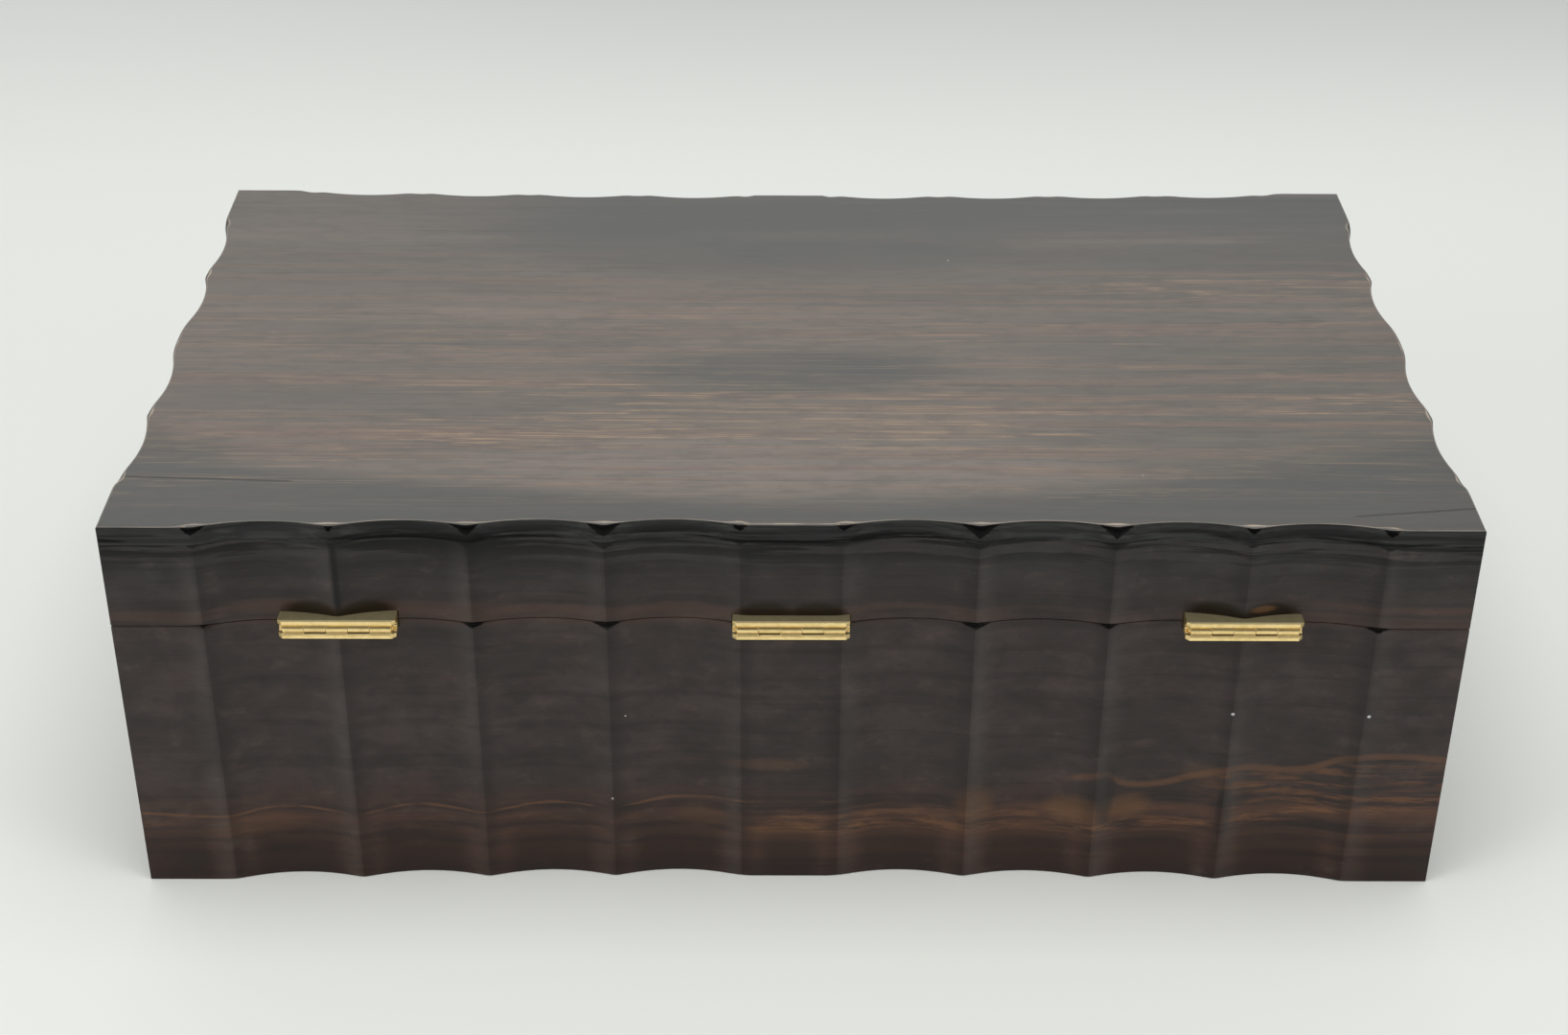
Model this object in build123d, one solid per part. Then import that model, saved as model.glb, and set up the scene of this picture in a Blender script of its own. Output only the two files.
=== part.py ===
"""A writing box with fluted walls: hinged lid, three stop hinges, box lock and fitted inside.

X runs along the width, Y from the front to the hinged back, Z up.
The origin is the middle of the underside. All sizes are in millimetres.
"""
import math
import os

from build123d import *

# Closed box, over the flat lands at its corners
box_width = 400.0
box_depth = 232.0
box_height = 130.0
lid_height = 34.2
seam_gap = 0.2

# Boards of the box
wall = 14.0
top_thickness = 6.0
top_ease = 0.8
floor_thickness = 7.0
floor_rabbet = 6.0

# Flutes: the long sides end in a flat land at the middle, the short sides in a swell
flute_depth = 3.3
ridge_flat = 1.2
shoulder_flat = 4.0
long_corner_land = 27.0
long_centre_land = 30.0
long_flutes = 4
long_hollow = 2.2
short_corner_land = 28.0
short_centre_land = 16.0
short_flutes = 2
short_hollow = 0.5

# Stop hinges
knuckle_count = 5
knuckle_length = 6.4
knuckle_radius = 1.5
knuckle_gap = 0.1
knuckle_sides = 12
hinge_set_out = 0.3
leaf_thickness = 2.85
leaf_reach = 9.5
leaf_overhang = 1.3
leaf_corner = 1.2
nose_reach = 1.6
nose_clearance = 0.12
stop_angle = 95.0
stop_play = 2.0
pin_radius = 0.8
pin_proud = 0.5
running_clearance = 0.05
leaf_screw_spacing = 19.0

# Small round things, such as screws, are drawn with this many sides
small_sides = 8

# Wood screws with countersunk heads
screw_head_radius = 1.9
screw_head_height = 1.4
screw_head_bevel = 0.8
screw_shank_radius = 0.9
screw_length = 9.0
short_screw_length = 4.0

# Box lock and its link plate
lock_plate_width = 46.0
lock_plate_height = 28.0
lock_plate = 1.5
lock_box_width = 34.0
lock_box_height = 25.0
lock_depth = 8.5
lock_shell = 1.0
selvedge_thickness = 1.5
hook_spacing = 18.0
hook_thickness = 1.6
hook_depth = 4.6
hook_drop = 7.5
hook_eye_width = 2.6
hook_eye_height = 3.4
hook_clearance = 0.6
hook_foot = 1.2
bolt_travel = 3.4
bolt_thickness = 2.0
bolt_finger_height = 2.4
bolt_bar_height = 4.0
bolt_post_width = 2.0
bolt_clearance = 0.3
guide_width = 1.6
guide_clearance = 0.1
guide_spacing = 12.0
talon_depth = 1.6
key_post_radius = 0.9
keyhole_drop = 16.0
keyhole_radius = 2.4
keyhole_slot_width = 2.2
keyhole_slot_length = 6.5
escutcheon_width = 17.0
escutcheon_height = 27.0
escutcheon_thickness = 1.2

# Fitted inside
fitting_drop = 2.0
partition = 5.0
ledge = 8.0
inkwell_size = 50.0
inkwell_play = 1.0
loose_play = 0.5
lining = 0.8
board_thickness = 8.0
leather_border = 12.0
tab_length = 34.0
tab_width = 14.0
tab_inset = 2.0
tray_thickness = 20.0
pen_trough_radius = 16.0
pen_trough_depth = 9.0
nib_trough_radius = 6.0
nib_trough_depth = 4.5
trough_end_margin = 10.0
trough_margin = 3.5

# Inkwells
inkwell_shoulder = 4.0
inkwell_corner = 5.0
inkwell_floor = 5.0
bottle_height = 44.0
bore_radius = 12.0
bottle_base = 8.0
collar_size = 31.0
collar_corner = 6.0
collar_height = 5.0
cap_gap = 0.2
cap_rim = 1.4
cap_dome = 3.2
cap_drop = 3.0
cap_hinge_radius = 1.4
cap_hinge_length = 5.0
cap_ear_length = 2.0
cap_pin_radius = 0.7
cap_side_gap = 0.2
cap_ear_clearance = 0.2

# Heights and faces that the pieces share
seam_z = box_height - lid_height
base_rim = seam_z - seam_gap / 2
lid_rim = seam_z + seam_gap / 2
lid_ceiling = box_height - top_thickness
inner_x = box_width / 2 - wall
inner_y = box_depth / 2 - wall
fitting_top = base_rim - fitting_drop
well_size = inkwell_size + 2 * inkwell_play
divider_back = inner_y - well_size
divider_front = divider_back - partition
well_inner_x = inner_x - well_size
tray_space_x = well_inner_x - partition
inkwell_x = inner_x - well_size / 2
inkwell_y = inner_y - well_size / 2
hinge_y = box_depth / 2 + hinge_set_out
hinge_run = knuckle_count * knuckle_length


class Side:
    """One side of the box in its own frame: it runs along X and faces -Y."""

    def __init__(self, length, span, corner_land, centre_land, flutes, hollow, swell, turn):
        self.half = length / 2
        self.face = -span / 2
        self.reach = self.half - corner_land
        self.centre = centre_land / 2
        self.flutes = flutes
        self.pitch = (self.reach - self.centre) / flutes
        self.hollow = hollow
        self.swell = swell
        self.turn = turn

    def point(self, along, depth):
        return Vector(along, self.face + depth)

    def ridge(self, along):
        """A ridge on the side's slightly hollow line."""
        return self.point(along, self.hollow * (1 - (along / self.reach) ** 2))

    def ridges(self):
        """Distances of the ridges from the middle of the side, innermost first."""
        first = 1 if self.swell else 0
        return [self.centre + i * self.pitch for i in range(first, self.flutes + 1)]

    def flat_at(self, along):
        """Width of the narrow flat rubbed on the ridge there."""
        return shoulder_flat if abs(along) < self.centre + 1e-6 else ridge_flat

    def flute(self, start, end):
        a = self.ridge(start)
        b = self.ridge(end)
        arc = ThreePointArc(a, (a + b) / 2 + Vector(0, flute_depth), b)
        return trimmed(arc, self.flat_at(start) / 2, self.flat_at(end) / 2)

    def centre_edges(self):
        """The middle of the side: a flat land, or a swell tangent to the two flutes beside it."""
        if not self.swell:
            land = Line(self.ridge(-self.centre), self.ridge(self.centre))
            return [trimmed(land, shoulder_flat / 2, shoulder_flat / 2)]
        ridge_at = self.centre + self.pitch
        valley_at = self.centre + self.pitch / 2
        ridge_point = self.ridge(ridge_at)
        peak = self.ridge(0)
        valley = Vector(valley_at, (ridge_point.Y + self.ridge(self.centre).Y) / 2 + flute_depth)
        rise = valley.Y - ridge_point.Y
        flute_radius = ((ridge_at - valley_at) ** 2 + rise**2) / (2 * rise)
        offset = peak.Y - valley.Y + flute_radius
        swell_radius = (valley_at**2 + offset**2 - flute_radius**2) / (2 * (flute_radius - offset))
        swell_centre = peak + Vector(0, swell_radius)
        flute_centre = valley - Vector(0, flute_radius)
        share = swell_radius / (swell_radius + flute_radius)
        tangent = swell_centre + (flute_centre - swell_centre) * share
        left = [Vector(-p.X, p.Y) for p in (ridge_point, valley, tangent)]
        return [
            trimmed(ThreePointArc(*left), ridge_flat / 2, 0),
            ThreePointArc(left[2], peak, tangent),
            trimmed(ThreePointArc(tangent, valley, ridge_point), 0, ridge_flat / 2),
        ]

    def outer_edges(self):
        """The outside of the wall in plan, from corner to corner, with a flat across each ridge."""
        ridges = self.ridges()
        pairs = list(zip(ridges, ridges[1:]))
        ends = [Line(self.point(s * self.half, 0), self.ridge(s * self.reach)) for s in (-1, 1)]
        runs = [trimmed(ends[0], 0, ridge_flat / 2)]
        runs += [self.flute(-b, -a) for a, b in reversed(pairs)]
        runs += self.centre_edges()
        runs += [self.flute(a, b) for a, b in pairs]
        last = trimmed(ends[1], 0, ridge_flat / 2)
        runs.append(Line(last @ 1, last @ 0))
        edges = [runs[0]]
        for before, after in zip(runs, runs[1:]):
            if (before @ 1 - after @ 0).length > 1e-6:
                edges.append(Line(before @ 1, after @ 0))
            edges.append(after)
        return edges

    def profile(self):
        """Plan of the wall with mitred ends."""
        inner = [self.point(s * (self.half - wall), wall) for s in (1, -1)]
        edges = self.outer_edges()
        edges += [
            Line(self.point(self.half, 0), inner[0]),
            Line(inner[0], inner[1]),
            Line(inner[1], self.point(-self.half, 0)),
        ]
        return Sketch(Face(Wire(edges)).wrapped)

    def board(self, low, high):
        """The wall between two heights."""
        return extrude(Pos(0, 0, low) * self.profile(), high - low, dir=(0, 0, 1))


def trimmed(edge, at_start, at_end):
    """A straight line or arc, shortened at its ends."""
    start = at_start / edge.length
    end = 1 - at_end / edge.length
    if edge.geom_type == GeomType.LINE:
        return Line(edge @ start, edge @ end)
    return ThreePointArc(edge @ start, edge @ ((start + end) / 2), edge @ end)


def place(side, shape):
    return Rot(0, 0, side.turn) * shape


def long_side(turn):
    return Side(
        box_width, box_depth, long_corner_land, long_centre_land, long_flutes, long_hollow, False, turn
    )


def short_side(turn):
    return Side(
        box_depth, box_width, short_corner_land, short_centre_land, short_flutes, short_hollow, True, turn
    )


front = long_side(0)
right = short_side(90)
back = long_side(180)
left = short_side(270)
sides = {"front": front, "right": right, "back": back, "left": left}


def block(x0, x1, y0, y1, z0, z1):
    """A box between two corners."""
    return Pos((x0 + x1) / 2, (y0 + y1) / 2, (z0 + z1) / 2) * Box(x1 - x0, y1 - y0, z1 - z0)


def rod(radius, x0, x1, y, z):
    """A cylinder along X."""
    return Pos((x0 + x1) / 2, y, z) * Rot(0, 90, 0) * Cylinder(radius, x1 - x0)


def screw(length):
    """A countersunk wood screw whose head's face is at z = 0, pointing down."""
    head = extrude(RegularPolygon(screw_head_radius, small_sides), screw_head_height, dir=(0, 0, -1))
    head = chamfer(head.faces().sort_by(Axis.Z)[0].edges(), screw_head_bevel)
    return head + extrude(RegularPolygon(screw_shank_radius, small_sides), length, dir=(0, 0, -1))


def hinge_centres():
    """The outer hinges sit on the ridges next to the corner lands, the third on the middle land."""
    spacing = back.ridges()[-2]
    return {"left": -spacing, "centre": 0.0, "right": spacing}


def own_knuckles(for_lid):
    """Start and end, along the hinge, of the knuckles that belong to one leaf."""
    first = 1 if for_lid else 0
    runs = []
    for i in range(first, knuckle_count, 2):
        start = -hinge_run / 2 + i * knuckle_length
        runs.append((start + knuckle_gap / 2, start + knuckle_length - knuckle_gap / 2))
    return runs


def leaf_section(own):
    """Section of a lid leaf across the hinge axis, with its own knuckle or with a throat round
    one of the other leaf's.
    """
    slope = math.radians((stop_angle + stop_play) / 2)
    face_z = seam_gap / 2
    top_z = face_z + leaf_thickness
    throat = knuckle_radius + nose_clearance
    corner = throat * math.tan(math.pi / 8)
    tip = (nose_reach, nose_reach * math.tan(slope))
    if own:
        inner = [(face_z / math.tan(slope), face_z)]
    else:
        inner = [(-throat, face_z), (-throat, corner), (-corner, throat), (throat / math.tan(slope), throat)]
    points = [(-leaf_reach, face_z), *inner, tip, (nose_reach, top_z), (-leaf_reach, top_z)]
    section = Sketch(Face(Wire(Polyline(*points, close=True).edges())).wrapped)
    if own:
        section += RegularPolygon(knuckle_radius, knuckle_sides)
    return Plane.YZ * section


def leaf(for_lid):
    """A stop hinge leaf about its axis, for the lid; the base leaf is its mirror image.

    Its nose reaches over the knuckles, and its tip meets the other leaf's nose when the
    lid has opened to the stop angle.
    """
    half = hinge_run / 2 + leaf_overhang
    solid = extrude(leaf_section(False), half, both=True)
    tip_z = nose_reach * math.tan(math.radians((stop_angle + stop_play) / 2))
    corner = leaf_corner * math.sqrt(2)
    for s in (-1, 1):
        solid -= Pos(s * half, nose_reach, tip_z) * Rot(0, 0, 45) * Box(corner, corner, 4 * leaf_thickness)
    for start, end in own_knuckles(for_lid):
        solid += Pos(start, 0, 0) * extrude(leaf_section(True), end - start, dir=(1, 0, 0))
        bore = pin_radius + (running_clearance if for_lid else 0)
        solid -= rod(bore, start, end, 0, 0)
    for x in (-leaf_screw_spacing / 2, leaf_screw_spacing / 2):
        solid -= Pos(x, leaf_screw_y(), seam_gap / 2) * Rot(180, 0, 0) * screw(screw_length)
    return solid if for_lid else mirror(solid, about=Plane.XY)


def leaf_screw_y():
    """Middle of the leaf's flat, from the hinge axis."""
    return -(leaf_reach + knuckle_radius) / 2


def leaf_mortices(low, high):
    """The room cut in a rim for the three leaves."""
    half = hinge_run / 2 + leaf_overhang
    return [
        block(x - half, x + half, hinge_y - leaf_reach, hinge_y + leaf_reach, low, high)
        for x in hinge_centres().values()
    ]


def leaf_screws(for_lid):
    """Screws of the three leaves on one side of the seam, each with its room."""
    face_z = seam_z + (seam_gap / 2 if for_lid else -seam_gap / 2)
    spots = [
        Pos(x + s * leaf_screw_spacing / 2, hinge_y + leaf_screw_y(), face_z)
        for x in hinge_centres().values()
        for s in (-1, 1)
    ]
    return [spot * Rot(180, 0, 0) for spot in spots] if for_lid else spots


def keyhole(depth):
    """A keyhole cut through from the front, centred on its round part."""
    round_part = Circle(keyhole_radius)
    slot = Pos(0, -keyhole_slot_length / 2) * Rectangle(keyhole_slot_width, keyhole_slot_length)
    return extrude(Plane.XZ * (round_part + slot), depth / 2, both=True)


# Lock frame: where its parts lie in the front wall
front_land_y = front.ridge(front.centre).Y
lock_inner_y = -inner_y
lock_outer_y = lock_inner_y - lock_depth
cavity_front = lock_outer_y + lock_shell
cavity_back = lock_inner_y - lock_plate
hook_y = (cavity_front + cavity_back) / 2
keyhole_z = base_rim - keyhole_drop
selvedge_low = base_rim - selvedge_thickness
lock_box_low = base_rim - lock_box_height
link_plate_high = lid_rim + selvedge_thickness
eye_low = lid_rim - hook_drop + hook_foot
finger_z = eye_low + hook_eye_height / 2
hook_xs = (-hook_spacing / 2, hook_spacing / 2)
lock_screw_x = (lock_plate_width / 2 + lock_box_width / 2) / 2
bar_high = eye_low - hook_foot - bolt_clearance
bar_low = bar_high - bolt_bar_height
guide_z = (bar_low + bar_high) / 2


def lock_spots():
    """Screws of the lock, down through the ends of its selvedge."""
    return [Pos(x, hook_y, base_rim) for x in (-lock_screw_x, lock_screw_x)]


def link_spots():
    return [Pos(x, hook_y, lid_rim) * Rot(180, 0, 0) for x in (-lock_screw_x, lock_screw_x)]


def lock_envelope():
    """The lock's outside: selvedge, back plate and box."""
    half_plate = lock_plate_width / 2
    half_box = lock_box_width / 2
    selvedge = block(-half_plate, half_plate, lock_outer_y, lock_inner_y, selvedge_low, base_rim)
    plate = block(
        -half_plate, half_plate, lock_inner_y - lock_plate, lock_inner_y, base_rim - lock_plate_height, base_rim
    )
    box = block(-half_box, half_box, lock_outer_y, lock_inner_y, lock_box_low, base_rim)
    return selvedge + plate + box


def lock_case():
    half_box = lock_box_width / 2 - lock_shell
    case = lock_envelope()
    case -= block(
        -half_box, half_box, cavity_front, cavity_back, lock_box_low + lock_shell, selvedge_low
    )
    for x in hook_xs:
        case -= block(
            x - hook_thickness / 2 - hook_clearance,
            x + hook_thickness / 2 + hook_clearance,
            hook_y - hook_depth / 2 - hook_clearance,
            hook_y + hook_depth / 2 + hook_clearance,
            selvedge_low - 1,
            base_rim + 1,
        )
    case -= Pos(0, lock_outer_y, keyhole_z) * keyhole(2.5 * lock_shell)
    stud_length = cavity_back - lock_outer_y
    stud_y = (lock_outer_y + cavity_back) / 2
    post = extrude(Plane.XZ * RegularPolygon(key_post_radius, small_sides), stud_length / 2, both=True)
    case += Pos(0, stud_y, keyhole_z) * post
    for x in (-guide_spacing / 2, guide_spacing / 2):
        case += Pos(x, stud_y, guide_z) * Box(guide_width, stud_length, guide_width)
    for spot in lock_spots():
        case -= spot * screw(short_screw_length)
    return case


def lock_bolt():
    """Bar with two fingers that slide through the eyes of the hooks."""
    start = -hook_thickness / 2 - bolt_clearance - bolt_travel
    half = bolt_thickness / 2
    post_high = finger_z + bolt_finger_height / 2
    low_x = hook_xs[0] + start - bolt_post_width
    high_x = hook_xs[1] + start + bolt_travel
    bolt = block(low_x, high_x, hook_y - half, hook_y + half, bar_low, bar_high)
    for x in hook_xs:
        base_x = x + start
        bolt += block(base_x - bolt_post_width, base_x, hook_y - half, hook_y + half, bar_low, post_high)
        bolt += block(
            base_x - bolt_post_width,
            base_x + bolt_travel,
            hook_y - half,
            hook_y + half,
            finger_z - bolt_finger_height / 2,
            post_high,
        )
    bolt -= Pos(-bolt_travel / 2, hook_y, bar_low) * Box(bolt_travel, 2 * bolt_thickness, talon_depth * 2)
    room = guide_width + 2 * guide_clearance
    for x in (-guide_spacing / 2, guide_spacing / 2):
        bolt -= Pos(x - bolt_travel / 2, hook_y, guide_z) * Box(bolt_travel + room, 2 * bolt_thickness, room)
    return bolt


def link_plate():
    """Plate in the lid's rim with two eyed hooks that drop into the lock."""
    half = lock_plate_width / 2
    plate = block(-half, half, lock_outer_y, lock_inner_y, lid_rim, link_plate_high)
    for x in hook_xs:
        hook = block(
            x - hook_thickness / 2,
            x + hook_thickness / 2,
            hook_y - hook_depth / 2,
            hook_y + hook_depth / 2,
            lid_rim - hook_drop,
            lid_rim,
        )
        eye = block(
            x - hook_thickness,
            x + hook_thickness,
            hook_y - hook_eye_width / 2,
            hook_y + hook_eye_width / 2,
            eye_low,
            eye_low + hook_eye_height,
        )
        plate += hook - eye
    for spot in link_spots():
        plate -= spot * screw(short_screw_length)
    return plate


def escutcheon():
    """Lozenge let in flush round the keyhole."""
    half_x = escutcheon_width / 2
    half_z = escutcheon_height / 2
    lozenge = Polyline((half_x, 0), (0, half_z), (-half_x, 0), (0, -half_z), close=True)
    plate = extrude(Plane.XZ * Face(Wire(lozenge.edges())), escutcheon_thickness, dir=(0, 1, 0))
    return Pos(0, front_land_y, keyhole_z - keyhole_slot_length / 3) * plate


# Walls and boards
base = {name: place(side, side.board(0, base_rim)) for name, side in sides.items()}
lid = {name: place(side, side.board(lid_rim, lid_ceiling)) for name, side in sides.items()}
floor_x = inner_x + floor_rabbet
floor_y = inner_y + floor_rabbet
floor_board = block(-floor_x, floor_x, -floor_y, floor_y, 0, floor_thickness)
for name in base:
    base[name] -= floor_board

for room in leaf_mortices(base_rim - leaf_thickness, base_rim + 1):
    base["back"] -= room
for room in leaf_mortices(lid_rim - 1, lid_rim + leaf_thickness):
    lid["back"] -= room

escutcheon_blank = escutcheon()
key_way = block(
    -keyhole_radius,
    keyhole_radius,
    front_land_y,
    lock_outer_y,
    keyhole_z - keyhole_slot_length,
    keyhole_z + keyhole_radius,
)
base["front"] = base["front"] - lock_envelope() - escutcheon_blank - key_way
lid["front"] -= block(
    -lock_plate_width / 2, lock_plate_width / 2, lock_outer_y, lock_inner_y, lid_rim - 1, link_plate_high
)


def top_board():
    """The board over the lid's walls, with the same fluted outline and an eased upper edge."""
    outline = Rectangle(2 * inner_x, 2 * inner_y)
    for side in sides.values():
        outline += place(side, side.profile())
    board = extrude(Pos(0, 0, lid_ceiling) * outline, top_thickness)
    upper = board.faces().sort_by(Axis.Z)[-1].edges()
    return chamfer(upper, top_ease)


def cut_square(size, corner):
    """A square with its corners cut off."""
    return chamfer(Rectangle(size, size).vertices(), corner)


def bottle():
    """Square glass bottle with bevelled shoulders and a round bore."""
    body = extrude(cut_square(inkwell_size, inkwell_corner), bottle_height)
    body = chamfer(body.faces().sort_by(Axis.Z)[-1].edges(), inkwell_shoulder)
    return body - Pos(0, 0, bottle_base + bottle_height / 2) * Cylinder(bore_radius, bottle_height)


cap_axis_y = collar_size / 2 + cap_hinge_radius
cap_axis_z = collar_height + cap_gap / 2
ear_start = cap_hinge_length / 2 + cap_side_gap
ear_starts = (-ear_start - cap_ear_length, ear_start)


def collar():
    """Brass collar with two ears behind it for the cap's pin."""
    ring = extrude(cut_square(collar_size, collar_corner), collar_height)
    back_y = cap_axis_y + cap_hinge_radius
    for x in ear_starts:
        ear_low = cap_axis_z - 2 * cap_hinge_radius
        ear_high = cap_axis_z + cap_hinge_radius
        ring += block(x, x + cap_ear_length, collar_size / 2 - cap_ear_length, back_y, ear_low, collar_height)
        ring += block(x, x + cap_ear_length, collar_size / 2, back_y, ear_low, ear_high)
    opening = RegularPolygon(bore_radius, small_sides, major_radius=False, rotation=180 / small_sides)
    ring -= extrude(opening, collar_height)
    return ring - rod(cap_pin_radius, -collar_size / 2, collar_size / 2, cap_axis_y, cap_axis_z)


def cap():
    """Brass cap with a bevelled dome, a knuckle on its pin and hollows that clear the ears."""
    low = collar_height + cap_gap
    blank = extrude(Pos(0, 0, low) * cut_square(collar_size, collar_corner), cap_rim + cap_dome)
    blank = chamfer(blank.faces().sort_by(Axis.Z)[-1].edges(), cap_dome)
    ear_sweep = math.sqrt(2) * cap_hinge_radius + cap_ear_clearance
    for x in ear_starts:
        end = x + cap_ear_length + cap_side_gap
        blank -= rod(ear_sweep, x - cap_side_gap, end, cap_axis_y, cap_axis_z)
    half = cap_hinge_length / 2
    arm = block(-half, half, collar_size / 2 - cap_rim, cap_axis_y, low, low + cap_rim)
    knuckle = rod(cap_hinge_radius, -half, half, cap_axis_y, cap_axis_z)
    bore = rod(cap_pin_radius + running_clearance, -half, half, cap_axis_y, cap_axis_z)
    return blank + arm + knuckle - bore


def cap_pin():
    reach = cap_hinge_length / 2 + cap_side_gap + cap_ear_length
    return rod(cap_pin_radius, -reach, reach, cap_axis_y, cap_axis_z)


def trough(radius, depth, half_length, y, top):
    """A round-bottomed trough with sloping ends, as a cutter."""
    cutter = rod(radius, -half_length, half_length, y, top + radius - depth)
    low = half_length - depth
    ends = Polyline(
        (-half_length - 1, top + 1), (-low, top - depth), (low, top - depth), (half_length + 1, top + 1), close=True
    )
    return cutter & Pos(0, y, 0) * extrude(Plane.XZ * Face(Wire(ends.edges())), radius, both=True)


def pen_tray():
    half_x = tray_space_x - loose_play
    back_y = inner_y - loose_play
    front_y = divider_back + loose_play
    tray = block(-half_x, half_x, front_y, back_y, fitting_top - tray_thickness, fitting_top)
    pen_width = math.sqrt(pen_trough_radius**2 - (pen_trough_radius - pen_trough_depth) ** 2)
    nib_width = math.sqrt(nib_trough_radius**2 - (nib_trough_radius - nib_trough_depth) ** 2)
    pen_y = front_y + trough_margin + pen_width
    nib_y = back_y - trough_margin - nib_width
    half = half_x - trough_end_margin
    tray -= trough(pen_trough_radius, pen_trough_depth, half, pen_y, fitting_top)
    tray -= trough(nib_trough_radius, nib_trough_depth, half, nib_y, fitting_top)
    return tray


def writing_board_and_leather():
    half_x = inner_x - loose_play
    front_y = -inner_y + loose_play
    back_y = divider_front - loose_play
    board = block(-half_x, half_x, front_y, back_y, fitting_top - board_thickness, fitting_top)
    leather = block(
        -half_x + leather_border,
        half_x - leather_border,
        front_y + leather_border,
        back_y - leather_border,
        fitting_top - lining,
        fitting_top,
    )
    return board - leather, leather


def pull_tab():
    """Leather tab on the front border of the writing board."""
    front_y = -inner_y + loose_play + tab_inset
    tab = block(
        -tab_length / 2, tab_length / 2, front_y, front_y + tab_width, fitting_top, fitting_top + lining
    )
    return chamfer(tab.edges().filter_by(Axis.Z), tab_width / 3)


def ledges():
    """Strips under the edges of the writing board."""
    top = fitting_top - board_thickness
    low = top - ledge
    return {
        "board_ledge_front": block(-inner_x, inner_x, -inner_y, -inner_y + ledge, low, top),
        "board_ledge_back": block(-inner_x, inner_x, divider_front - ledge, divider_front, low, top),
        "board_ledge_left": block(-inner_x, -inner_x + ledge, -inner_y + ledge, divider_front - ledge, low, top),
        "board_ledge_right": block(inner_x - ledge, inner_x, -inner_y + ledge, divider_front - ledge, low, top),
    }


cap_top = fitting_top + fitting_drop - cap_drop
inkwell_height = bottle_height + collar_height + cap_gap + cap_rim + cap_dome
inkwell_seat = cap_top - inkwell_height

pieces = {}
for name in sides:
    pieces["base_" + name + "_wall"] = base[name]
    pieces["lid_" + name + "_wall"] = lid[name]
pieces["base_bottom_board"] = floor_board
pieces["lid_top_board"] = top_board()
pieces["lid_lining"] = block(
    -inner_x, inner_x, -inner_y, inner_y, lid_ceiling - lining, lid_ceiling
)

for name, x in hinge_centres().items():
    at = Pos(x, hinge_y, seam_z)
    pin_half = hinge_run / 2 + pin_proud
    pieces["hinge_lid_leaf_" + name] = at * leaf(True)
    pieces["hinge_base_leaf_" + name] = at * leaf(False)
    pieces["hinge_pin_" + name] = at * rod(pin_radius, -pin_half, pin_half, 0, 0)
pieces["hinge_base_screws"] = Compound([spot * screw(screw_length) for spot in leaf_screws(False)])
pieces["hinge_lid_screws"] = Compound([spot * screw(screw_length) for spot in leaf_screws(True)])

pieces["lock_case"] = lock_case()
pieces["lock_bolt"] = lock_bolt()
pieces["lock_screws"] = Compound([spot * screw(short_screw_length) for spot in lock_spots()])
pieces["lock_link_plate"] = link_plate()
pieces["link_plate_screws"] = Compound([spot * screw(short_screw_length) for spot in link_spots()])
pieces["keyhole_escutcheon"] = escutcheon_blank - Pos(0, front_land_y, keyhole_z) * keyhole(wall)

pieces["long_partition"] = block(
    -inner_x, inner_x, divider_front, divider_back, floor_thickness, fitting_top
)
pieces["well_lining"] = block(
    -inner_x, inner_x, -inner_y, divider_front, floor_thickness, floor_thickness + lining
)
pieces["pen_tray"] = pen_tray()
pieces["writing_board"], pieces["writing_leather"] = writing_board_and_leather()
pieces["board_pull_tab"] = pull_tab()
pieces.update(ledges())

for name, s in (("left", -1), ("right", 1)):
    x0, x1 = sorted((s * tray_space_x, s * well_inner_x))
    pieces["inkwell_partition_" + name] = block(
        x0, x1, divider_back, inner_y, floor_thickness, fitting_top
    )
    tray_low = fitting_top - tray_thickness
    x0, x1 = sorted((s * (tray_space_x - ledge), s * tray_space_x))
    pieces["tray_ledge_" + name] = block(x0, x1, divider_back, inner_y, tray_low - ledge, tray_low)
    x0, x1 = sorted((s * well_inner_x, s * inner_x))
    pieces["inkwell_floor_" + name] = block(
        x0, x1, divider_back, inner_y, inkwell_seat - inkwell_floor, inkwell_seat
    )
    seat = Pos(s * inkwell_x, inkwell_y, inkwell_seat)
    pieces["inkwell_bottle_" + name] = seat * bottle()
    on_bottle = seat * Pos(0, 0, bottle_height)
    pieces["inkwell_collar_" + name] = on_bottle * collar()
    pieces["inkwell_cap_" + name] = on_bottle * cap()
    pieces["inkwell_cap_pin_" + name] = on_bottle * cap_pin()

os.makedirs("parts", exist_ok=True)
for name, shape in pieces.items():
    export_step(shape, os.path.join("parts", name + ".step"))
print(len(pieces), "pieces; lid axis y", round(hinge_y, 3), "z", round(seam_z, 3))
print("cap axis y", round(inkwell_y + cap_axis_y, 3), "z", round(inkwell_seat + bottle_height + cap_axis_z, 3))
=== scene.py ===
"""A fluted writing box: dark polished wood, brass hinges and fitted inside, seen from behind.

Everything is in metres in the part's frame: X along the width, +Y towards the hinged back, +Z up.
"""
import math
from functools import partial, reduce

import bmesh
import bpy
import numpy as np
from mathutils import Matrix, Vector

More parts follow.
